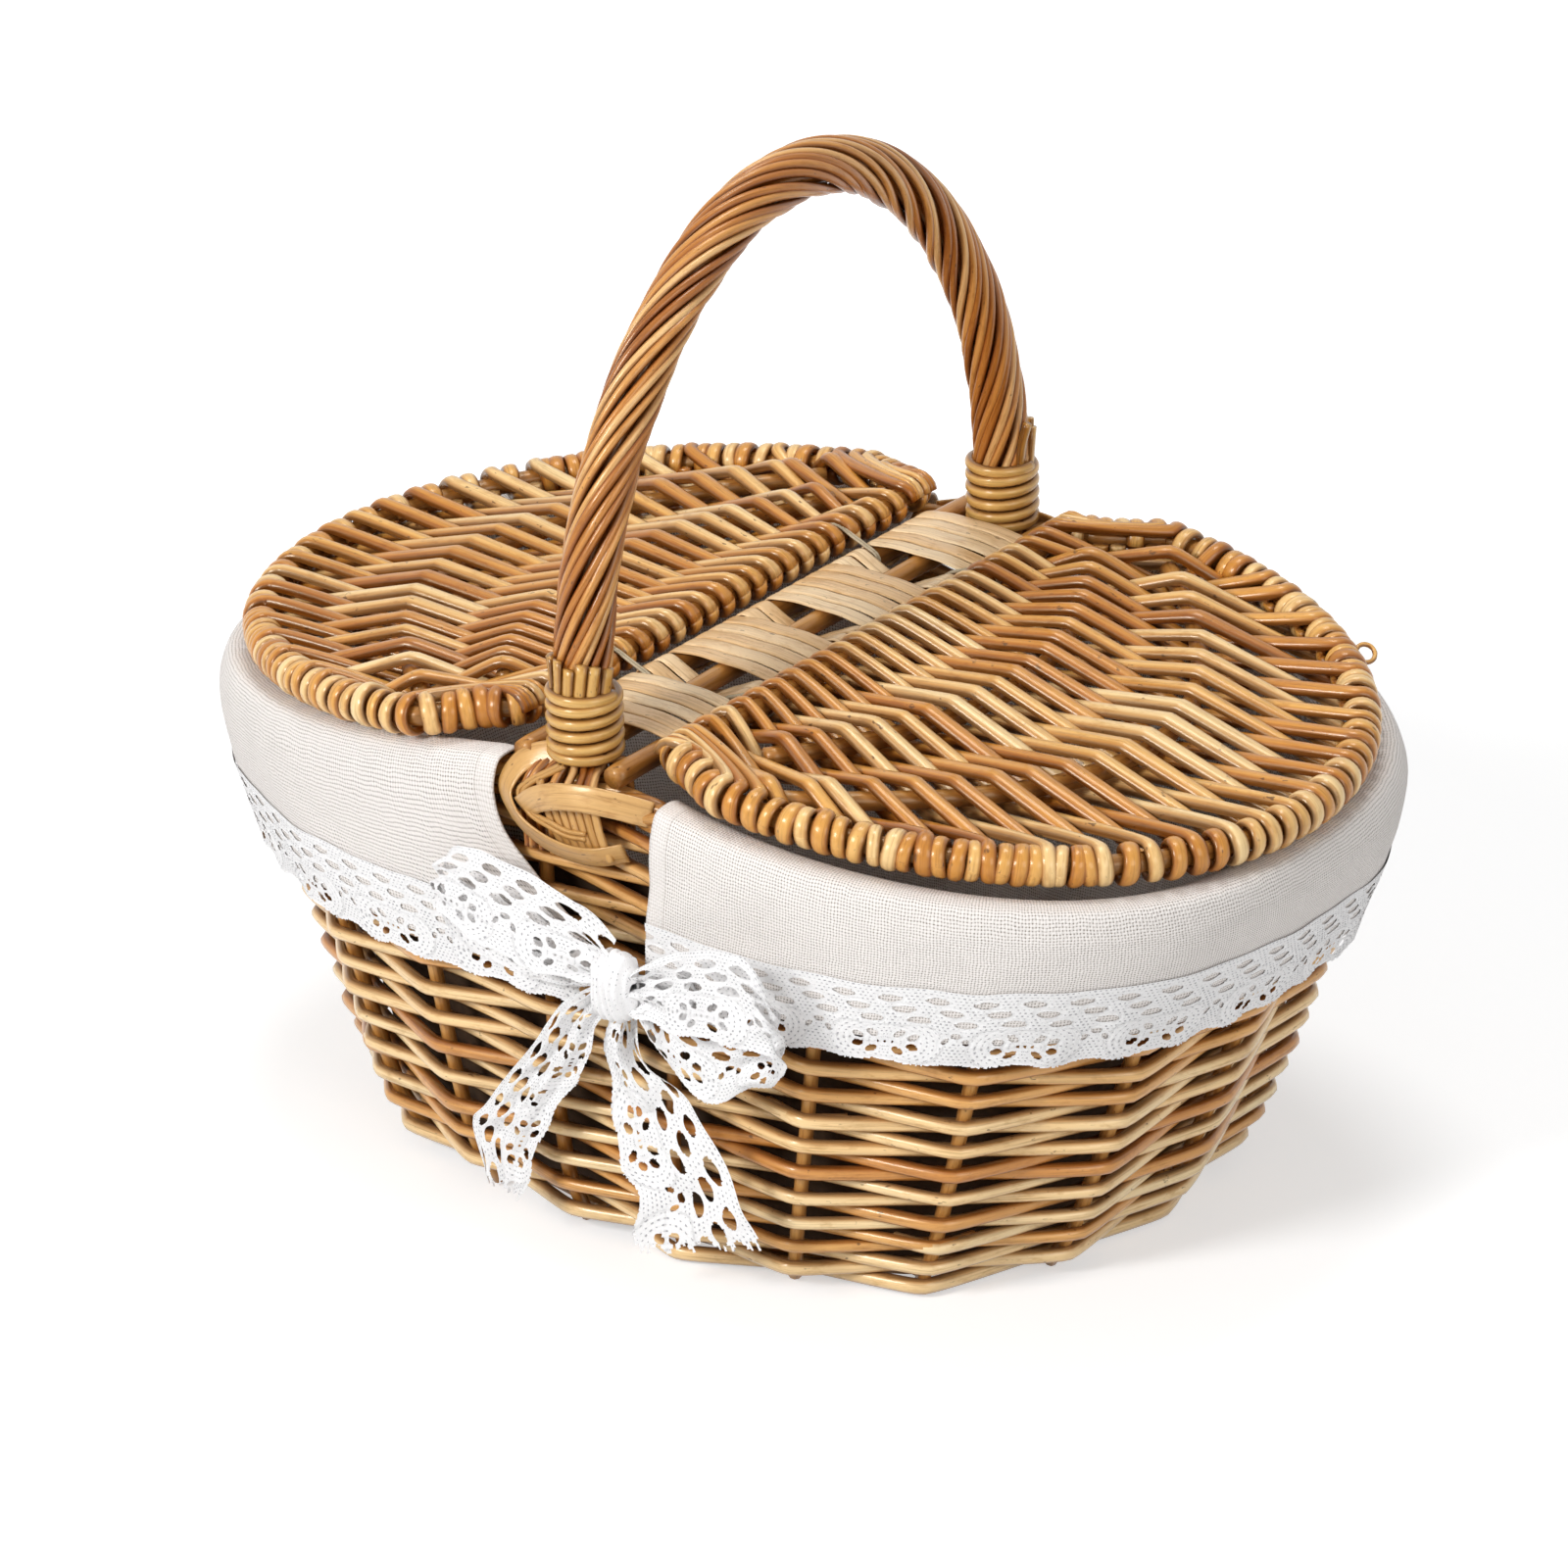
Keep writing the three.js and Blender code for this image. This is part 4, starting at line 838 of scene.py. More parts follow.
def rim_line():
    """The middle line of the lid's frame from the front corner round the rim to the rear corner."""
    rim = rim_point(np.linspace(-math.pi / 2, math.pi / 2, 400))
    arc = np.linspace(0, math.pi / 2, 12)
    front = stacked(LID_CORNER * (1 - np.cos(arc)),
                    -LID_HALF_HINGE + LID_CORNER - LID_CORNER * np.sin(arc), 0.0)
    line, = through(np.concatenate([front, rim, (front * [1, -1, 1])[::-1]]), 1.5)
    return line


RIM_LINE = rim_line()
RIM_RUN = run_along(RIM_LINE)


def rim_frame(run):
    """Place on the rim at a length from its front corner, and the directions out of it and along it."""
    at, ahead, behind = (carried(RIM_LINE, RIM_RUN, place) for place in (run, run + 1, run - 1))
    along = unit(ahead - behind)
    return at, np.array([along[1], -along[0], 0.0]), along


def run_of(v):
    """Length along the rim, from its front corner, to where a strand from v on the hinge meets it."""
    share = v / LID_HALF_HINGE
    return RIM_RUN[-1] / 2 * (1 + FAN_MIDDLE * share + (FAN_ENDS - FAN_MIDDLE) * share ** 3)


def lid_frame(side, name):
    build = Build()
    hinge = np.linspace(LID_HALF_HINGE - LID_CORNER, -LID_HALF_HINGE + LID_CORNER, 60)[1:-1]
    line = np.concatenate([RIM_LINE, np.stack([0 * hinge, hinge, 0 * hinge], -1)])
    build.rod(line, UP, LID_ROD_RADIUS, LID_ROD_RADIUS, sides=12, closed=True, tone=0.35)
    return lid_piece(build, f"{name}_lid_rim_rod", ROD_WILLOW, side)


def lid_piece(build, name, material, side):
    """The piece made of a build that was drawn flat."""
    build.verts = [lid_space(side, v) for v in build.verts]
    return build.make(name, material)


def lid_rib(side, name, rib):
    build = Build()
    _, half, _, radius = RIBS[rib]
    v = np.linspace(-half, half, 60)
    line = np.stack([rib_reach(rib, v), v, 0 * v], -1)
    size = radius * (1 + 0.04 * np.sin(v * 0.2))
    build.rod(line, UP, size, size, sides=12, tone=0.3 if rib == "inner" else 0.55)
    return lid_piece(build, f"{name}_lid_{rib}_rib_rod", ROD_WILLOW, side)


def crossing(rib, v, end):
    """Where a strand from v on the hinge to its end on the rim crosses a rib, or None past the rib's end."""
    u = RIBS[rib][0]
    across = v
    for _ in range(12):
        across = v + (end[1] - v) * u / end[0]
        u = rib_reach(rib, across)
    return (float(u), float(across)) if abs(across) < RIBS[rib][1] + 2 and u < end[0] - 6 else None


def lid_strand(build, v, middle, run, sign, bands, narrow=0.0):
    """One strand, from round the hinge rod over one rib and under the other to round the rim."""
    jitter = rng.uniform(-0.7, 0.7)
    points, normals, depth, width = [], [], [], []

    def put(point, normal, d=STRAND_HALF_DEPTH, w=STRAND_HALF_WIDTH):
        points.append(point)
        normals.append(normal)
        depth.append(d)
        width.append(w)

    at, out, along = rim_frame(run)
    for i in range(5):
        a = math.pi - i * math.pi / 8
        away = np.array([math.cos(a), 0, sign * math.sin(a)])
        shift = (middle - v) * (1 - i / 4)
        put(np.array([0, v + shift, 0]) + away * (BAND_ORBIT - 0.3), away,
            1.4 + 0.15 * i, 3.0 - 0.2 * i - narrow)
    over = sign
    crossings = [(rib, crossing(rib, v, at)) for rib in RIBS]
    for rib, crossed in crossings:
        if crossed:
            over = -over
            u, across = crossed
            lead = unit(at - np.array([0, v, 0]))
            centre = np.array([u, across + jitter, over * (RIBS[rib][3] + STRAND_HALF_DEPTH + 0.9)])
            wide = STRAND_HALF_WIDTH + STRAND_WIDENING * u / LID_REACH
            for step in (-2.2, 0, 2.2):
                put(centre + lead * step - UP * over * abs(step) * 0.2, UP * sign, w=wide)
    if any(crossed for _, crossed in crossings):
        over = -over
    turned = over * sign
    bands.append(run)
    for i in range(11):
        a = math.pi * (0.62 - i * 1.62 / 10)
        away = out * math.cos(a) + UP * over * math.sin(a)
        shift = along * (i - 2) * 0.22
        flat = min(i / 2.5, 1)
        put(at + shift + away * (BAND_ORBIT + 0.3 * (1 - flat)), away * turned,
            STRAND_HALF_DEPTH + (BAND_HALF_DEPTH - STRAND_HALF_DEPTH) * flat,
            STRAND_HALF_WIDTH + (BAND_HALF_WIDTH * rng.uniform(0.9, 1.05) - STRAND_HALF_WIDTH) * flat)
    size = rng.uniform(0.92, 1.1)
    line, normals, depth, width = through(
        points, 1.2, (normals, np.array(depth) * size, np.array(width) * size))
    build.rod(line, unit(normals), depth, width, sides=12, tone=rng.uniform(0.05, 1))


def plain_band(build, run, tone):
    """One turn round the rim."""
    at, out, along = rim_frame(run)
    turn = 2 * math.pi * np.arange(24) / 24
    away = around(out, turn)
    lean = along * (0.9 * np.sin(turn + rng.uniform(0, 6)))[:, None]
    build.rod(at + lean + away * BAND_ORBIT, away, BAND_HALF_DEPTH * 0.9,
              BAND_HALF_WIDTH * rng.uniform(0.78, 0.95), sides=10, closed=True, tone=tone)


def rim_curl(build):
    """The end of a thin rod that stands out from the rim in a small loop."""
    at, out, along = rim_frame(float(np.interp(CURL_V, RIM_LINE[:, 1], RIM_RUN)))
    turn = np.radians(np.linspace(-150, 150, 24))[:, None]
    centre = at + out * CURL_STAND_OFF + UP * 1.5
    line = centre + CURL_SIZE * (out * np.cos(turn) + (along * 0.8 + UP * 0.6) * np.sin(turn))
    build.rod(line, UP, 0.85, 0.85, sides=8, tone=0.7)


def lid_weave(side, name):
    """Pairs of strands from the hinge to the rim, and the bands that fill the rim between their ends."""
    build = Build()
    bands = []
    for k in range(WRAP_COUNT):
        middle = (k - (WRAP_COUNT - 1) / 2) * WRAP_PITCH
        for sign, wanted in ((-1, k > 0), (1, k < WRAP_COUNT - 1)):
            if wanted:
                v = middle + PAIR_HALF_SPACE * sign
                lid_strand(build, v, middle, run_of(v), sign, bands)
    for end in (-1, 1):
        for i, v in enumerate(CORNER_STRANDS):
            lid_strand(build, end * v, end * v, run_of(end * v), -1 if i == 2 else 1, bands, narrow=0.9)
    marks = sorted([0.0] + bands + [RIM_RUN[-1]])
    for a, b in zip(marks, marks[1:]):
        extra = max(round((b - a) / BAND_PITCH) - 1, 0)
        for i in range(1, extra + 1):
            plain_band(build, a + (b - a) * i / (extra + 1), rng.uniform(0.35, 0.95))
    if side > 0:
        rim_curl(build)
    return lid_piece(build, f"{name}_lid_strands", LID_WILLOW, side)


for side_name, side_sign in (("left", -1), ("right", 1)):
    lid_body = f"{side_name}_lid"
    place(lid_frame(side_sign, side_name), lid_body, "willow_dark", f"{side_name}_lid_frame")
    for rib_name in RIBS:
        place(lid_rib(side_sign, side_name, rib_name), lid_body, "willow", f"{side_name}_lid_{rib_name}_rib")
    place(lid_weave(side_sign, side_name), lid_body, "willow_dark", f"{side_name}_lid_weave")


# Cloth: shared shapes of the linen and lace

BAG_TOP = 136.0
BAG_FLOOR = 7.4
BAG_REACH = 10.0
CLOTH_REACH = 10.47
SLOT_TO_RIGHT_FLAP, SLOT_TO_LEFT_FLAP = 40.0, 25.0
FLAP_HEM, FLAP_HEM_RISE, FLAP_HEM_RISE_SHARE = 121.5, 10.5, 0.6
FLAP_PULL, FLAP_PUSH, FLAP_PULL_SHARE = 36.0, -2.0, 0.17
FLAP_COLUMNS, FLAP_ROWS = 360, 110
HIDDEN_LINEN = 18.5
LACE_WIDTH = 31.0
LACE_OVERLAP = 2.6


def share_to(reach):
    """The share of the rim's length from the front middle to a distance along the front."""
    places, _ = wall_at(ARC_ANGLES, WALL_HEIGHT)
    return ARC_LENGTHS[np.argmax(places[:, 0] > reach)] / RIM_LENGTH


FLAP_START = share_to(SLOT_TO_RIGHT_FLAP)
FLAP_END = 0.5 - share_to(SLOT_TO_LEFT_FLAP)


def flap_angle(share, hang):
    """Angle of a place on the right flap: the lower it hangs, the more it is drawn along with its corner."""
    drawn = (FLAP_PUSH * np.maximum(1 - share / FLAP_PULL_SHARE, 0)
             + FLAP_PULL * np.maximum(1 - (1 - share) / FLAP_PULL_SHARE, 0))
    return angle_at(FLAP_START + (FLAP_END - FLAP_START) * share + drawn * hang ** 2 / RIM_LENGTH)


def hem_at(share):
    """Height of the hem, which is highest at one end of the flap and level over its last part."""
    return FLAP_HEM + FLAP_HEM_RISE * np.maximum(1 - (share / FLAP_HEM_RISE_SHARE) ** 2, 0)


def hem_line():
    """Shares along the flap, and the lengths along its hem to each of them."""
    share = np.linspace(0, 1, 801)
    places, _ = wall_at(flap_angle(share, 1.0), hem_at(share), CLOTH_REACH + 2)
    return share, run_along(places)


HEM_SHARES, HEM_RUN = hem_line()
HEM_LENGTH = HEM_RUN[-1]


def crumple(u, v, size, seed):
    """Soft uneven waves over flat places, about one high, with hollows about size apart."""
    waves = np.random.default_rng(seed)
    total = 0.0
    for _ in range(7):
        turn, length = waves.uniform(0, math.pi), size * waves.uniform(0.7, 1.6)
        run = (u * math.cos(turn) + v * math.sin(turn)) / length
        total = total + np.sin(2 * math.pi * run + waves.uniform(0, 2 * math.pi)) / 3
    return total


def flap_reach(share, hang, seed):
    """How far the hanging cloth stands off the line of stakes."""
    fold = 0.8 * np.sin(2 * math.pi * 9 * share) * np.sin(math.pi * share)
    belly = np.sin(np.clip(hang, 0, 1) * math.pi * 0.62)
    loose = np.clip(hang, 0, 1) * (1 - 0.15 * hang)
    waves = loose * (fold + 0.5 * crumple(share * HEM_LENGTH, hang * 40, 70, seed))
    return np.maximum(CLOTH_REACH + 0.2 + 0.8 * belly + waves, CLOTH_REACH - 0.6)


def lace_reach(share, t, seed):
    """How far the lace, and the linen behind it, stand off the line of stakes at t below the lace's top."""
    free = np.clip((t - LACE_OVERLAP) / (LACE_WIDTH - LACE_OVERLAP), 0, 1)
    s = share * HEM_LENGTH
    ripple = 0.5 * np.sin(s / 5.3 + 2 * np.sin(s / 31)) * free ** 2
    waves = 0.45 * free * crumple(s, t, 24, seed + 7)
    return flap_reach(share, 1.0, seed) + 1.0 - 1.3 * free + ripple + waves


def weights(count, rows):
    """Shares of count control points in each of rows places along a smooth line through them."""
    out = np.zeros((rows, count))
    for r, at in enumerate(np.linspace(0, count - 1, rows)):
        i = min(int(at), count - 2)
        f = at - i
        basis = (-0.5 * f + f ** 2 - 0.5 * f ** 3, 1 - 2.5 * f ** 2 + 1.5 * f ** 3,
                 0.5 * f + 2 * f ** 2 - 1.5 * f ** 3, -0.5 * f ** 2 + 0.5 * f ** 3)
        for k, share in zip(range(i - 1, i + 3), basis):
            out[r, min(max(k, 0), count - 1)] += share
    return out


def solidify(piece, thickness, offset=0):
    """Gives a sheet its thickness in millimetres."""
    thicken = piece.modifiers.new("thickness", "SOLIDIFY")
    thicken.thickness = thickness * MM
    thicken.offset = offset
    return piece


def linen():
    """Plain weave with small gaps between threads of uneven thickness: the gaps and the thread edges beside
    them are painted darker as shade.
    """
    shade = Shader("linen")
    grain = shade.attribute("grain", "Vector")
    wander = shade.node("TexNoise", {"Vector": grain, "Scale": 0.16, "Detail": 3.0}).outputs["Color"]
    bent = shade.vector("ADD", grain, shade.scaled(wander, (1.6, 1.6, 0.0)))
    split = shade.node("SeparateXYZ", {0: bent})
    u, v = split.outputs[0], split.outputs[1]
    across = shade.math("SINE", shade.times(u, math.pi / THREAD_PITCH))
    along = shade.math("SINE", shade.times(v, math.pi / THREAD_PITCH))
    gap_u = shade.math("SUBTRACT", 1.0, shade.math("ABSOLUTE", across))
    gap_v = shade.math("SUBTRACT", 1.0, shade.math("ABSOLUTE", along))
    hole = shade.times(gap_u, gap_v)
    over = shade.times(across, along)
    slub_u = shade.fibres(grain, (1.1, 0.07, 1.0), 2.0)
    slub_v = shade.fibres(grain, (0.07, 1.1, 1.0), 2.0)
    slub = shade.plus(slub_u, slub_v)
    size = shade.math("MULTIPLY_ADD", slub, -0.5, 1.02)
    doubled = shade.attribute("tone", "Fac")
    open_weave = shade.math("MULTIPLY_ADD", doubled, -0.7, 1.0)
    # painted shade: the gaps between threads are real openings, drawn dark brown as the shade behind them,
    # less so where the cloth is doubled
    dark = shade.ramp(shade.times(hole, size), [(0.1, 0.0), (0.34, 1.0)])
    thread = shade.ramp(slub, [(0.3, "d8cfc8"), (0.5, "ebe4df"), (0.7, "f5f0ed")])
    # painted shade along the thread edges beside the gaps
    groove = shade.math("MAXIMUM", gap_u, gap_v)
    thread = shade.mix(shade.times(groove, 0.35), thread, "b9ac9c")
    colour = shade.mix(shade.times(shade.times(dark, open_weave), 0.95), thread, "66594c")
    seam = shade.ramp(doubled, [(0.3, 0.0), (0.5, 1.0), (0.7, 0.0)])
    colour = shade.mix(shade.times(seam, 0.35), colour, "a3968a")
    height = shade.plus(shade.times(over, 0.5), shade.times(hole, -1.6))
    return shade.surface(colour, 0.92, height, 0.0003, 0.55, Sheen_Weight=0.15, Sheen_Roughness=0.6)


def bag_painted_shade():
    """The bag's outer face, painted dark brown as shade: it shows only as the dark behind the gaps of the
    wall.
    """
    shade = Shader("linen_painted_shade")
    mottled = shade.noise(shade.attribute("grain", "Vector"), 0.3, 3.0)
    return shade.surface(shade.ramp(mottled, [(0.3, "3a2817"), (0.7, "4c3520")]), 0.95, mottled)


THREAD_PITCH = 1.12
SLOT_HEM = 8.5
LINEN, BAG_PAINTED_SHADE = linen(), bag_painted_shade()


def liner_bag():
    """One sheet: round the inside of the wall from its top edge down, and across the floor."""
    build = Build()
    columns, down, floor_rings = 260, 50, 22
    angle = angle_at(np.arange(columns + 1) / columns)
    heights = np.linspace(BAG_TOP, BAG_FLOOR, down)
    inset = np.interp(heights, [0, 8, 20, 136], [12.2, 11.8, 10.4, BAG_REACH])
    slack = np.sin(math.pi * np.arange(down) / (down - 1))
    u = np.arange(columns + 1) / columns * 1000
    wave = crumple(u[:, None], heights[None], 90, 3) + 0.7 * crumple(u[:, None], heights[None] * 0.3, 34, 4)
    wave = wave - wave.min()
    wave[-1] = wave[0]
    rows = []
    for i, height in enumerate(heights):
        point, _ = wall_at(angle, height, -(inset[i] + 1.4 * slack[i] * wave[:, i]))
        rows.append(point)
    edge = rows[-1]
    for r in range(1, floor_rings + 1):
        share = 1 - r / (floor_rings + 0.2)
        ring = edge * [share, share, 1]
        waves = 0.5 * crumple(ring[:, 0], ring[:, 1], 60, 5) * (1 - share ** 4)
        ring[:, 2] = BAG_FLOOR + 0.8 * (1 - share) + waves
        rows.append(ring)
    points = np.stack(rows, 1)
    steps = np.linalg.norm(np.diff(points, axis=1), axis=-1).mean(0)
    v = np.concatenate([[0], np.cumsum(steps)])
    build.grid(points, stacked(u[:, None], v[None], 0.0), 0.0)
    sheet = solidify(build.make("liner_sheet", LINEN), 0.5, -1)
    # the outer faces of the thickened sheet take the painted shade material
    sheet.data.materials.append(BAG_PAINTED_SHADE)
    sheet.modifiers["thickness"].material_offset = 1
    rings = np.linalg.norm(np.diff(points, axis=0), axis=-1).sum(0)
    return sheet, v[-1], float(np.sum((rings[1:] + rings[:-1]) / 2 * steps))


def flap(name, side, seed):
    """Linen from inside the bag's top over the border and down to its hem, drawn for the right side."""
    share = np.linspace(0, 1, FLAP_COLUMNS)[:, None]
    rim = weave_top(flap_angle(share, 0)) + BORDER_RISE
    hem = hem_at(share)
    fall = rim - hem
    low = BAG_TOP - 5
    line = [(-BAG_REACH - 1, low + 0 * rim), (-BAG_REACH - 0.8, (low + rim) / 2), (-BAG_REACH, rim - 1.5),
            (-7.7, rim + 3.8), (-3.3, rim + 6.7), (2.2, rim + 7.5), (7.4, rim + 6.3)]
    line += [(None, rim - fall * k) for k in (0.0, 0.16, 0.36, 0.58, 0.8, 1.0)]
    line += [(None, hem - step) for step in (6.0, 12.0, HIDDEN_LINEN)]
    reach, height, hang = [], [], []
    for d, z in line:
        below = np.clip((rim - z) / fall, 0, 1) if d is None or d > 0 else 0 * rim
        out = flap_reach(share, below, seed) if d is None else d + 0 * rim
        if d is None:
            out = np.minimum(out, lace_reach(share, hem + LACE_OVERLAP - z, seed) - 0.95)
        reach.append(out[:, 0])
        height.append(z[:, 0])
        hang.append(below[:, 0])
    reach[7] = reach[7] - 0.5
    spread = weights(len(line), FLAP_ROWS)
    reach, height, hang = (np.stack(values, 1) @ spread.T for values in (reach, height, hang))
    u = share * HEM_LENGTH
    shown = np.clip(hang * 2.5, 0, 1) * np.clip((height - hem) / 6, 0, 1)
    fine = crumple(u, height, 26, seed + 1) * shown * 0.25
    near_slot = np.exp(-(u / 26) ** 2) + np.exp(-(((1 - share) * HEM_LENGTH) / 26) ** 2)
    creases = 0.4 * np.sin(hang * 9 + u * 0.16) * near_slot * shown
    point, normal = wall_at(flap_angle(share, np.clip(hang, 0, 1)), np.minimum(height, rim))
    point = point + normal * (reach + fine + creases)[..., None]
    point[..., 2] = height
    v = np.cumsum(np.linalg.norm(np.diff(point, axis=1, prepend=point[:, :1]), axis=-1).mean(0))
    build = Build()
    point[..., :2] *= side
    from_slot = np.minimum(share, 1 - share) * HEM_LENGTH
    build.grid(point, stacked(u, v[None], 0.0), np.clip((SLOT_HEM - from_slot) / 1.4, 0, 1))
    return solidify(build.make(name, LINEN), 0.8), v[-1]


# Lace: a band with a straight heading, three rows of lens-shaped holes, and wheels above a scalloped edge

LACE_PERIOD = 46.0
LACE_CELL = 0.6
NET_SPACING = LACE_PERIOD / 3
NET_ROWS = (4.4, 8.5, 12.6)
WHEEL_T = 21.9
WHEEL_RADIUS, WHEEL_TOP, WHEEL_STRETCH = 11, 14.6, 1.75
EDGE_T = 29.6
STITCH_ROW, STITCH_LENGTH = 1.24, 1.75


def folded(value, period):
    """How far the value is from the nearest whole number of periods."""
    return (value + period / 2) % period - period / 2


def opening(x, y, half_x, half_y, power=2.0):
    """Distance from the edge of an opening, in millimetres, below zero inside it."""
    ax, ay = np.abs(x / half_x) + 1e-6, np.abs(y / half_y) + 1e-6
    size = (ax ** power + ay ** power) ** (1 / power)
    slope = size ** (1 - power) * np.hypot(ax ** (power - 1) / half_x, ay ** (power - 1) / half_y)
    return (size - 1) / slope


def turned_opening(x, y, at_x, at_y, half_x, half_y, turn):
    """The same for an opening at a place of its own, turned by an angle."""
    c, s = math.cos(turn), math.sin(turn)
    dx, dy = x - at_x, y - at_y
    return opening(c * dx + s * dy, c * dy - s * dx, half_x, half_y)


def lace_holes(s, t, open_net=1.0):
    """Distance from the nearest hole or outer edge, and the coordinates that its rows of stitches follow."""
    scallops = 0.9 * np.cos(4 * math.pi * s / LACE_PERIOD)
    picots = 0.4 * np.abs(np.sin(math.pi * s / 1.9))
    gaps = [EDGE_T - scallops + picots - t]
    for row, at in enumerate(NET_ROWS):
        x = folded(s - row * NET_SPACING / 3, NET_SPACING)
        gaps.append(opening(x, t - at, 4.0 * open_net, 1.4 * open_net, 1.7))
    x, y = folded(s, LACE_PERIOD), t - WHEEL_T
    ax, ay = np.abs(x), np.abs(y)
    gaps += [turned_opening(ax, ay, 9.2, 1.9, 2.0, 1.3, 0.3),
             turned_opening(ax, ay, 4.5, 3.3, 2.2, 1.2, 0.55),
             turned_opening(ax, ay, 2.4, 0, 0.55, 0.5, 0), opening(x, y, 0.5, 0.5)]
    between = folded(s - LACE_PERIOD / 2, LACE_PERIOD)
    gaps += [turned_opening(between, t, 0, 17.2, 1.9, 1.0, 0),
             turned_opening(np.abs(between), t, 3.4, 19.6, 1.5, 0.9, 0.9)]
    ring = np.hypot(x / WHEEL_STRETCH, y)
    in_wheel = (ring < WHEEL_RADIUS) & (t > WHEEL_TOP)
    rows = np.where(in_wheel, ring, t)
    run = np.where(in_wheel, np.arctan2(y, x / WHEEL_STRETCH) * 9, s)
    return np.min(np.stack(gaps), 0), run, rows


def lace(build, place_at, length, start=0.0, fray=(0.0, 0.0), open_net=1.0):
    """Lays lace of a length over place_at(s, t): its holes are cut out, and their edges stand up as cords."""
    s = np.linspace(0, length, int(length / LACE_CELL) + 1)[:, None]
    t = np.linspace(0, LACE_WIDTH, int(LACE_WIDTH / LACE_CELL) + 1)[None]
    s, t = np.broadcast_arrays(s, t)

    def holes(along, down):
        return lace_holes(along + start, down, open_net)

    gap = holes(s, t)[0]
    step = 0.05
    slope_s = (holes(s + step, t)[0] - holes(s - step, t)[0]) / (2 * step)
    slope_t = (holes(s, t + step)[0] - holes(s, t - step)[0]) / (2 * step)
    slope = np.maximum(slope_s ** 2 + slope_t ** 2, 0.2)
    near = (np.abs(gap) < 0.55 * LACE_CELL) & (t > 0) & (s > 0) & (s < length)
    s_moved = s - np.where(near, gap * slope_s / slope, 0)
    t_moved = t - np.where(near, gap * slope_t / slope, 0)
    gap, run, rows = holes(s_moved, t_moved)
    points = place_at(s_moved, t_moved)
    normal = unit(np.cross(np.gradient(points, axis=0), np.gradient(points, axis=1)))
    cord = np.exp(-((gap - 0.5) / 0.4) ** 2)
    weave = 0.12 * np.sin(2 * math.pi * rows / STITCH_ROW)
    points = points + normal * (0.34 * cord + weave)[..., None]
    middle = (gap[:-1, :-1] + gap[1:, :-1] + gap[:-1, 1:] + gap[1:, 1:]) / 4
    keep = middle > 0
    for end, amount in zip((s, length - s), fray):
        if amount:
            ragged = amount * (0.35 + 0.65 * np.abs(np.sin(t * 1.35 + 1.2 * np.sin(t * 0.7))) ** 2)
            keep &= (end > amount - ragged)[:-1, :-1]
    build.grid(points, stacked(run, rows, cord), keep=keep)
    return keep.sum() * (length / (s.shape[0] - 1)) * (LACE_WIDTH / (t.shape[1] - 1))


def lace_cotton():
    """White cotton lace: rows of tiny slits between fine threads, painted dark grey as the shade seen through
    them.
    """
    shade = Shader("lace")
    grain = shade.attribute("grain", "Vector")
    split = shade.node("SeparateXYZ", {0: grain})
    u, v, cord = split.outputs[0], split.outputs[1], split.outputs[2]
    row = shade.times(v, 1 / STITCH_ROW)
    stagger = shade.times(shade.math("FLOOR", row), 0.5)
    column = shade.plus(shade.times(u, 1 / STITCH_LENGTH), stagger)
    off_row = shade.math("ABSOLUTE", shade.math("SUBTRACT", shade.math("FRACT", row), 0.5))
    off_column = shade.math("ABSOLUTE", shade.math("SUBTRACT", shade.math("FRACT", column), 0.5))
    slit = shade.math("MAXIMUM", shade.times(off_row, 4.6), shade.times(off_column, 3.2))
    uneven = shade.fibres(grain, (0.9, 0.9, 0.0), 2.0)
    slit = shade.plus(slit, shade.math("MULTIPLY_ADD", uneven, -2.2, 1.2))
    slit = shade.plus(slit, cord)
    # painted shade: the slits between stitches are drawn dark grey, and not on the raised cords
    dark = shade.ramp(slit, [(0.5, 1.0), (0.78, 0.0)])
    fibre = shade.fibres(grain, (1.6, 2.6, 0.0), 4.0, 0.7)
    colour = shade.ramp(fibre, [(0.3, "f0efef"), (0.6, "fcfbfb")])
    colour = shade.mix(shade.times(dark, 0.68), colour, "838188")
    height = shade.math("SUBTRACT", fibre, shade.times(dark, 1.4))
    return shade.surface(colour, 0.88, height, 0.00035, 0.6, Sheen_Weight=0.2, Sheen_Roughness=0.5)


LACE = lace_cotton()


def hem_lace(name, side, seed):
    """The lace along the hem of a flap, sewn over its edge and hanging free below."""
    build = Build()

    def place_at(s, t):
        share = np.interp(s, HEM_RUN, HEM_SHARES)
        height = hem_at(share) + LACE_OVERLAP - t + 0.35 * crumple(s, 0 * t, 20, seed + 8)
        point, _ = wall_at(flap_angle(share, 1.0), height, lace_reach(share, t, seed))
        point[..., :2] *= side
        return point

    area = lace(build, place_at, HEM_LENGTH)
    return build.make(name, LACE), area


# Bows: stations along each ribbon give the two ends of a line across it, in millimetres

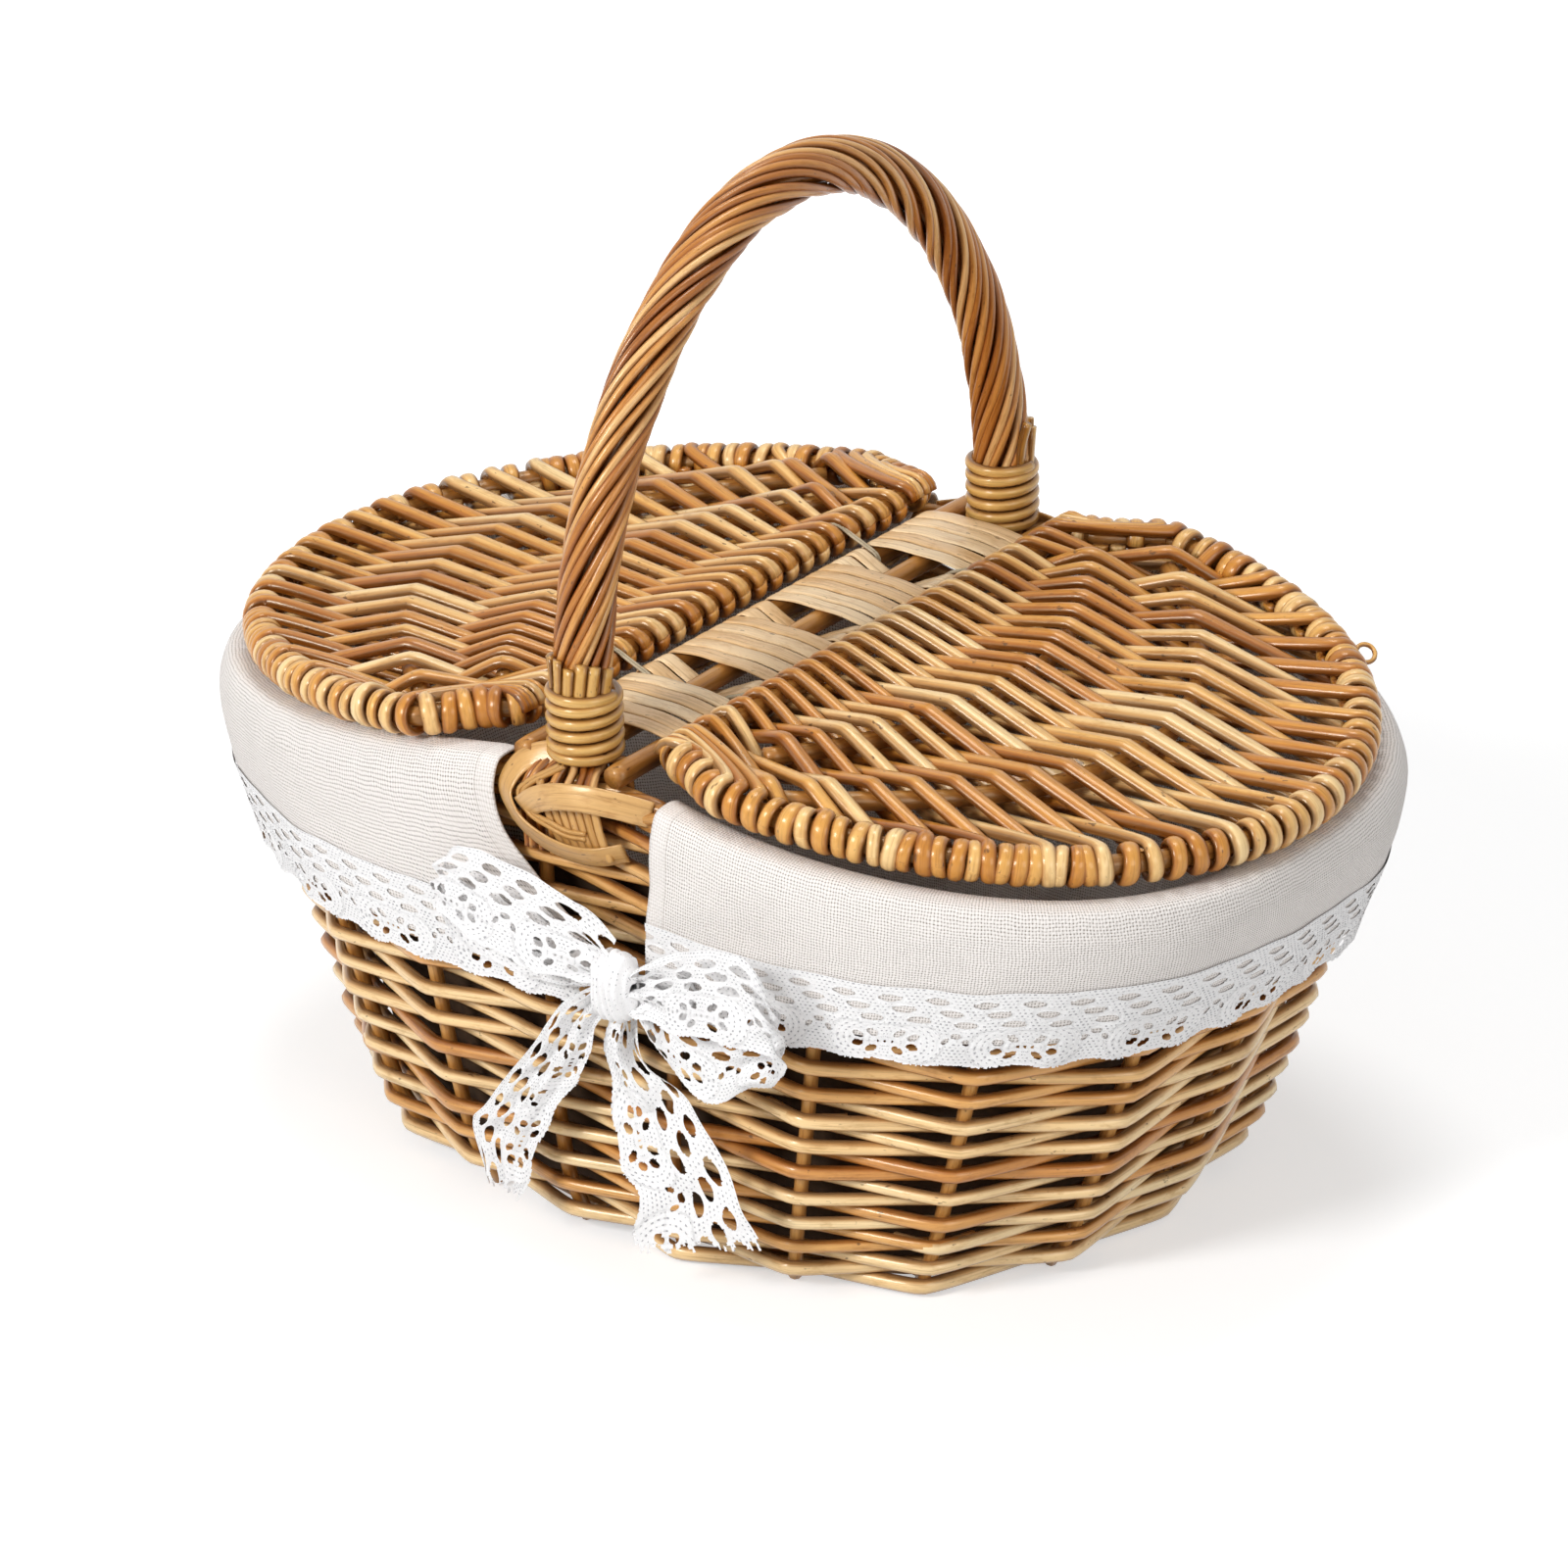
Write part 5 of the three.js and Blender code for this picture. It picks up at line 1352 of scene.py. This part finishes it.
RIGHT_LOOP = [
    (39, -143.5, 121, 38, -143.5, 107), (60, -148, 135, 55, -148, 106), (80, -151, 143, 77, -151, 109),
    (94, -151, 142, 93, -151, 110), (99, -147, 128, 102, -147, 108), (93, -141, 117, 93, -141, 93),
    (83, -139, 112, 83, -139, 90), (71, -138.5, 111, 70, -138.5, 79), (53, -138.5, 114, 53, -138.5, 83),
    (42, -140, 117, 40, -140, 101)]
LEFT_LOOP = [
    (33, -144, 130, 27, -144, 113), (23, -147, 141, 16, -147, 112), (7, -150, 148, 2, -150, 113),
    (-10, -150, 151, -17, -150, 116), (-30, -147, 148, -38, -147, 121), (-40, -142, 139, -44, -142, 124),
    (-35, -138.5, 136, -40, -138.5, 111), (-15, -137.5, 134, -23, -137.5, 103), (5, -137, 128, -1, -137, 102),
    (24, -139, 121, 22, -139, 109)]
LEFT_TAIL = [
    (26, -141, 113, 31, -141, 107), (7, -141, 99, 23, -141, 94), (-8, -138.5, 79, 16, -138.5, 77),
    (-20, -137, 64, 7, -137, 65), (-32, -136, 48, -5, -136, 45), (-39, -134, 39, -12, -134, 30),
    (-36, -134, 27, -15, -134, 21), (-33, -134, 19, -18, -134, 16)]
RIGHT_TAIL = [
    (36, -138, 106, 34, -144, 109), (39, -138, 88, 26, -144, 88), (53, -137, 79, 28, -143, 71),
    (63, -136, 66, 29, -142, 48), (73, -136, 49, 36, -142, 38), (80, -136, 36, 34, -142, 22),
    (84, -136, 30, 34, -142, 16)]
STRAP = [
    (-24, -135.6, 116, -24, -135.6, 101), (-4, -136, 118, -4, -136, 103), (14, -137, 119, 14, -137, 107),
    (32, -138, 119, 32, -138, 107), (46, -137.4, 121, 46, -137.4, 105), (58, -136.6, 122, 58, -136.6, 100)]
BOW_NET = 1.15
BOW_BACK_Y = -133.5
KNOT = (32.5, -143.6, 114.2)
KNOT_HALF = (8.2, 6.8, 12.2)


def ribbon(build, stations, side, seed, start, fray=(0.0, 0.0), pleats=2.5):
    """Lace ribbon along the stations, gathered into pleats where they leave it less room than its width."""
    stations = np.asarray(stations, float)
    top, bottom = stations[:, :3], stations[:, 3:]
    middle, half = through((top + bottom) / 2, 0.8, ((top - bottom) / 2,))
    run = run_along(middle)
    along = unit(np.gradient(middle, axis=0))
    normal = unit(np.cross(along, half))
    room = 2 * np.linalg.norm(half, axis=1)

    def place_at(s, t):
        share = t / LACE_WIDTH
        width = np.interp(s, run, room)
        spare = np.sqrt(np.clip(LACE_WIDTH / width - 1, 0, 1.6))
        depth = np.clip(width / (math.pi * pleats) * spare, 0, 2.4)
        pleat = depth * np.sin(2 * math.pi * pleats * share + 0.5 * np.sin(s / 9 + seed) + seed)
        soft = 0.55 * crumple(s, t, 17, seed) + 0.5 * np.sin(s / 4.1 + seed) * (np.abs(share - 0.5) * 2) ** 3
        offset = pleat + soft
        place = carried(middle, run, s) + carried(half, run, s) * (1 - 2 * share)[..., None]
        place = place + carried(normal, run, s) * offset[..., None]
        place[..., 1] = np.minimum(place[..., 1], BOW_BACK_Y)
        place[..., :2] *= side
        return place

    return np.array([lace(build, place_at, run[-1], start, fray, BOW_NET), run[-1]])


def knot(build, side):
    """The turn of ribbon round the middle of a bow, with ridges along it."""
    turn = np.linspace(0, 2 * math.pi, 97)[:, None]
    across = np.linspace(-1, 1, 41)[None]
    ridge = 0.6 * np.cos(across * 19 + 0.8 * np.sin(turn * 2)) + 0.3 * np.sin(turn * 5 + across * 4)
    body = np.sqrt(1 - 0.97 * np.abs(across) ** 3.4)
    x = KNOT[0] + KNOT_HALF[0] * across * (1 - 0.1 * np.cos(2 * turn))
    y = KNOT[1] - (KNOT_HALF[1] * body + ridge) * np.cos(turn)
    z = KNOT[2] + (KNOT_HALF[2] * body + ridge) * np.sin(turn) + 1.2 * across
    points = stacked(x, y, z)
    points[..., :2] *= side
    build.grid(points, stacked(turn * 9, across * 9 + 2, 0.35))


def bow(name, side, seed):
    """The bow's mesh, with the flat area of its lace and the length of ribbon in it."""
    build = Build()
    used = ribbon(build, RIGHT_LOOP, side, seed, 8.0, pleats=2.2)
    used += ribbon(build, LEFT_LOOP, side, seed + 1, 30.0, pleats=2.4)
    used += ribbon(build, LEFT_TAIL, side, seed + 2, 5.0, fray=(0.0, 5.0))
    used += ribbon(build, RIGHT_TAIL, side, seed + 3, -49.0, fray=(0.0, 6.0), pleats=1.5)
    used += ribbon(build, STRAP, side, seed + 4, 0.0)
    knot(build, side)
    area, length = used
    return build.make(name, LACE), area, length


bag, bag_depth, bag_area = liner_bag()
place(bag, "basket", "linen", "liner_bag")
for side_name, end_name, side_sign in (("right", "front", 1), ("left", "rear", -1)):
    cloth_seed = 20 + side_sign
    cloth, cloth_depth = flap(f"{side_name}_flap_sheet", side_sign, cloth_seed)
    place(cloth, "basket", "linen", f"{side_name}_flap")
    band, band_area = hem_lace(f"{side_name}_lace_band", side_sign, cloth_seed)
    place(band, "basket", "lace", f"{side_name}_lace")
    tied, tied_area, tied_length = bow(f"{end_name}_lace_bow", side_sign, 5 + side_sign)
    place(tied, "basket", "lace", f"{end_name}_bow")


# Floor, light and camera

FLOOR_GLOW = 0.5
FAR_GLOW = 0.84
NEAR_FLOOR, FAR_FLOOR = 0.35, 1.3
WORLD_LIGHT = 0.24
FLOOR_SIZE = 12
LAMP_AIM = (0, 0, 0.1)
LAMPS = [  # name, watts, diameter and place, in metres
    ("key", 38, 0.7, (-0.45, -2.05, 1.4)),
    ("fill", 12, 1.2, (1.9, -0.8, 1.0)),
    ("top", 17, 0.9, (-0.2, 0.3, 2.3))]


def seen_rays(nodes, links):
    """1 for rays from the camera, also by way of a gloss or glass, and 0 for the light on things."""
    path = nodes.new("ShaderNodeLightPath")
    total = path.outputs["Is Camera Ray"]
    for name in ("Is Glossy Ray", "Is Transmission Ray"):
        add = nodes.new("ShaderNodeMath")
        add.operation = "MAXIMUM"
        links.new(total, add.inputs[0])
        links.new(path.outputs[name], add.inputs[1])
        total = add.outputs[0]
    return total


def stage():
    """The floor, which glows for the camera: more so far away, where it meets the white behind it."""
    bpy.ops.mesh.primitive_plane_add(size=FLOOR_SIZE, location=(0, 0, 0))
    floor = bpy.context.object
    floor.name = "floor"
    shade = Shader("floor")
    nodes, links = shade.tree.nodes, shade.tree.links
    paper = shade.node("BsdfDiffuse", {"Color": (0.75, 0.75, 0.75, 1)})
    place = shade.node("TexCoord").outputs["Object"]
    away = shade.node("VectorMath", {0: place}, operation="LENGTH").outputs["Value"]
    level = shade.node("MapRange", {"Value": away, "From Min": NEAR_FLOOR, "From Max": FAR_FLOOR,
                                    "To Min": FLOOR_GLOW, "To Max": FAR_GLOW}).outputs["Result"]
    strength = shade.math("MULTIPLY", seen_rays(nodes, links), level)
    glow = shade.node("Emission", {"Color": (1, 1, 1, 1), "Strength": strength})
    both = shade.node("AddShader", {0: paper.outputs[0], 1: glow.outputs[0]})
    links.new(both.outputs[0], shade.out.inputs["Surface"])
    floor.data.materials.append(shade.material)


def light(name, energy, size, place_at):
    data = bpy.data.lights.new(name, "AREA")
    data.energy = energy
    data.shape = "DISK"
    data.size = size
    lamp = bpy.data.objects.new(name, data)
    lamp.location = place_at
    lamp.rotation_euler = (Vector(LAMP_AIM) - Vector(place_at)).to_track_quat("-Z", "Y").to_euler()
    bpy.context.scene.collection.objects.link(lamp)


def world():
    """Soft white light all round, and plain white for the camera."""
    surroundings = bpy.data.worlds.new("studio")
    surroundings.use_nodes = True
    tree = surroundings.node_tree
    tree.nodes.clear()
    out = tree.nodes.new("ShaderNodeOutputWorld")
    soft = tree.nodes.new("ShaderNodeBackground")
    soft.inputs["Strength"].default_value = WORLD_LIGHT
    white = tree.nodes.new("ShaderNodeBackground")
    white.inputs["Strength"].default_value = 1.0
    for background in (soft, white):
        background.inputs["Color"].default_value = (1, 1, 1, 1)
    mix = tree.nodes.new("ShaderNodeMixShader")
    tree.links.new(seen_rays(tree.nodes, tree.links), mix.inputs[0])
    tree.links.new(soft.outputs[0], mix.inputs[1])
    tree.links.new(white.outputs[0], mix.inputs[2])
    tree.links.new(mix.outputs[0], out.inputs["Surface"])
    bpy.context.scene.world = surroundings


AZIMUTH, ELEVATION, ROLL = math.radians(38.03), math.radians(25.24), math.radians(-1.48)
DISTANCE = 2.5
AIM = Vector((-0.00897, 0.0, 0.11865))
LENS, SENSOR = 170.34, 36.0


def camera():
    back = Vector((math.sin(AZIMUTH) * math.cos(ELEVATION), -math.cos(AZIMUTH) * math.cos(ELEVATION),
                   math.sin(ELEVATION)))
    right = Vector((math.cos(AZIMUTH), math.sin(AZIMUTH), 0))
    above = back.cross(right)
    c, s = math.cos(ROLL), math.sin(ROLL)
    turned_right = c * right + s * above
    turned_up = -s * right + c * above
    data = bpy.data.cameras.new("camera")
    data.lens = LENS
    data.sensor_width = SENSOR
    data.clip_end = 30
    eye = bpy.data.objects.new("camera", data)
    spin = Matrix((turned_right, turned_up, back)).transposed().to_4x4()
    eye.matrix_world = Matrix.Translation(AIM + back * DISTANCE) @ spin
    bpy.context.scene.collection.objects.link(eye)
    bpy.context.scene.camera = eye


stage()
world()
for lamp_settings in LAMPS:
    light(*lamp_settings)
camera()
bpy.context.scene.view_settings.view_transform = "Standard"
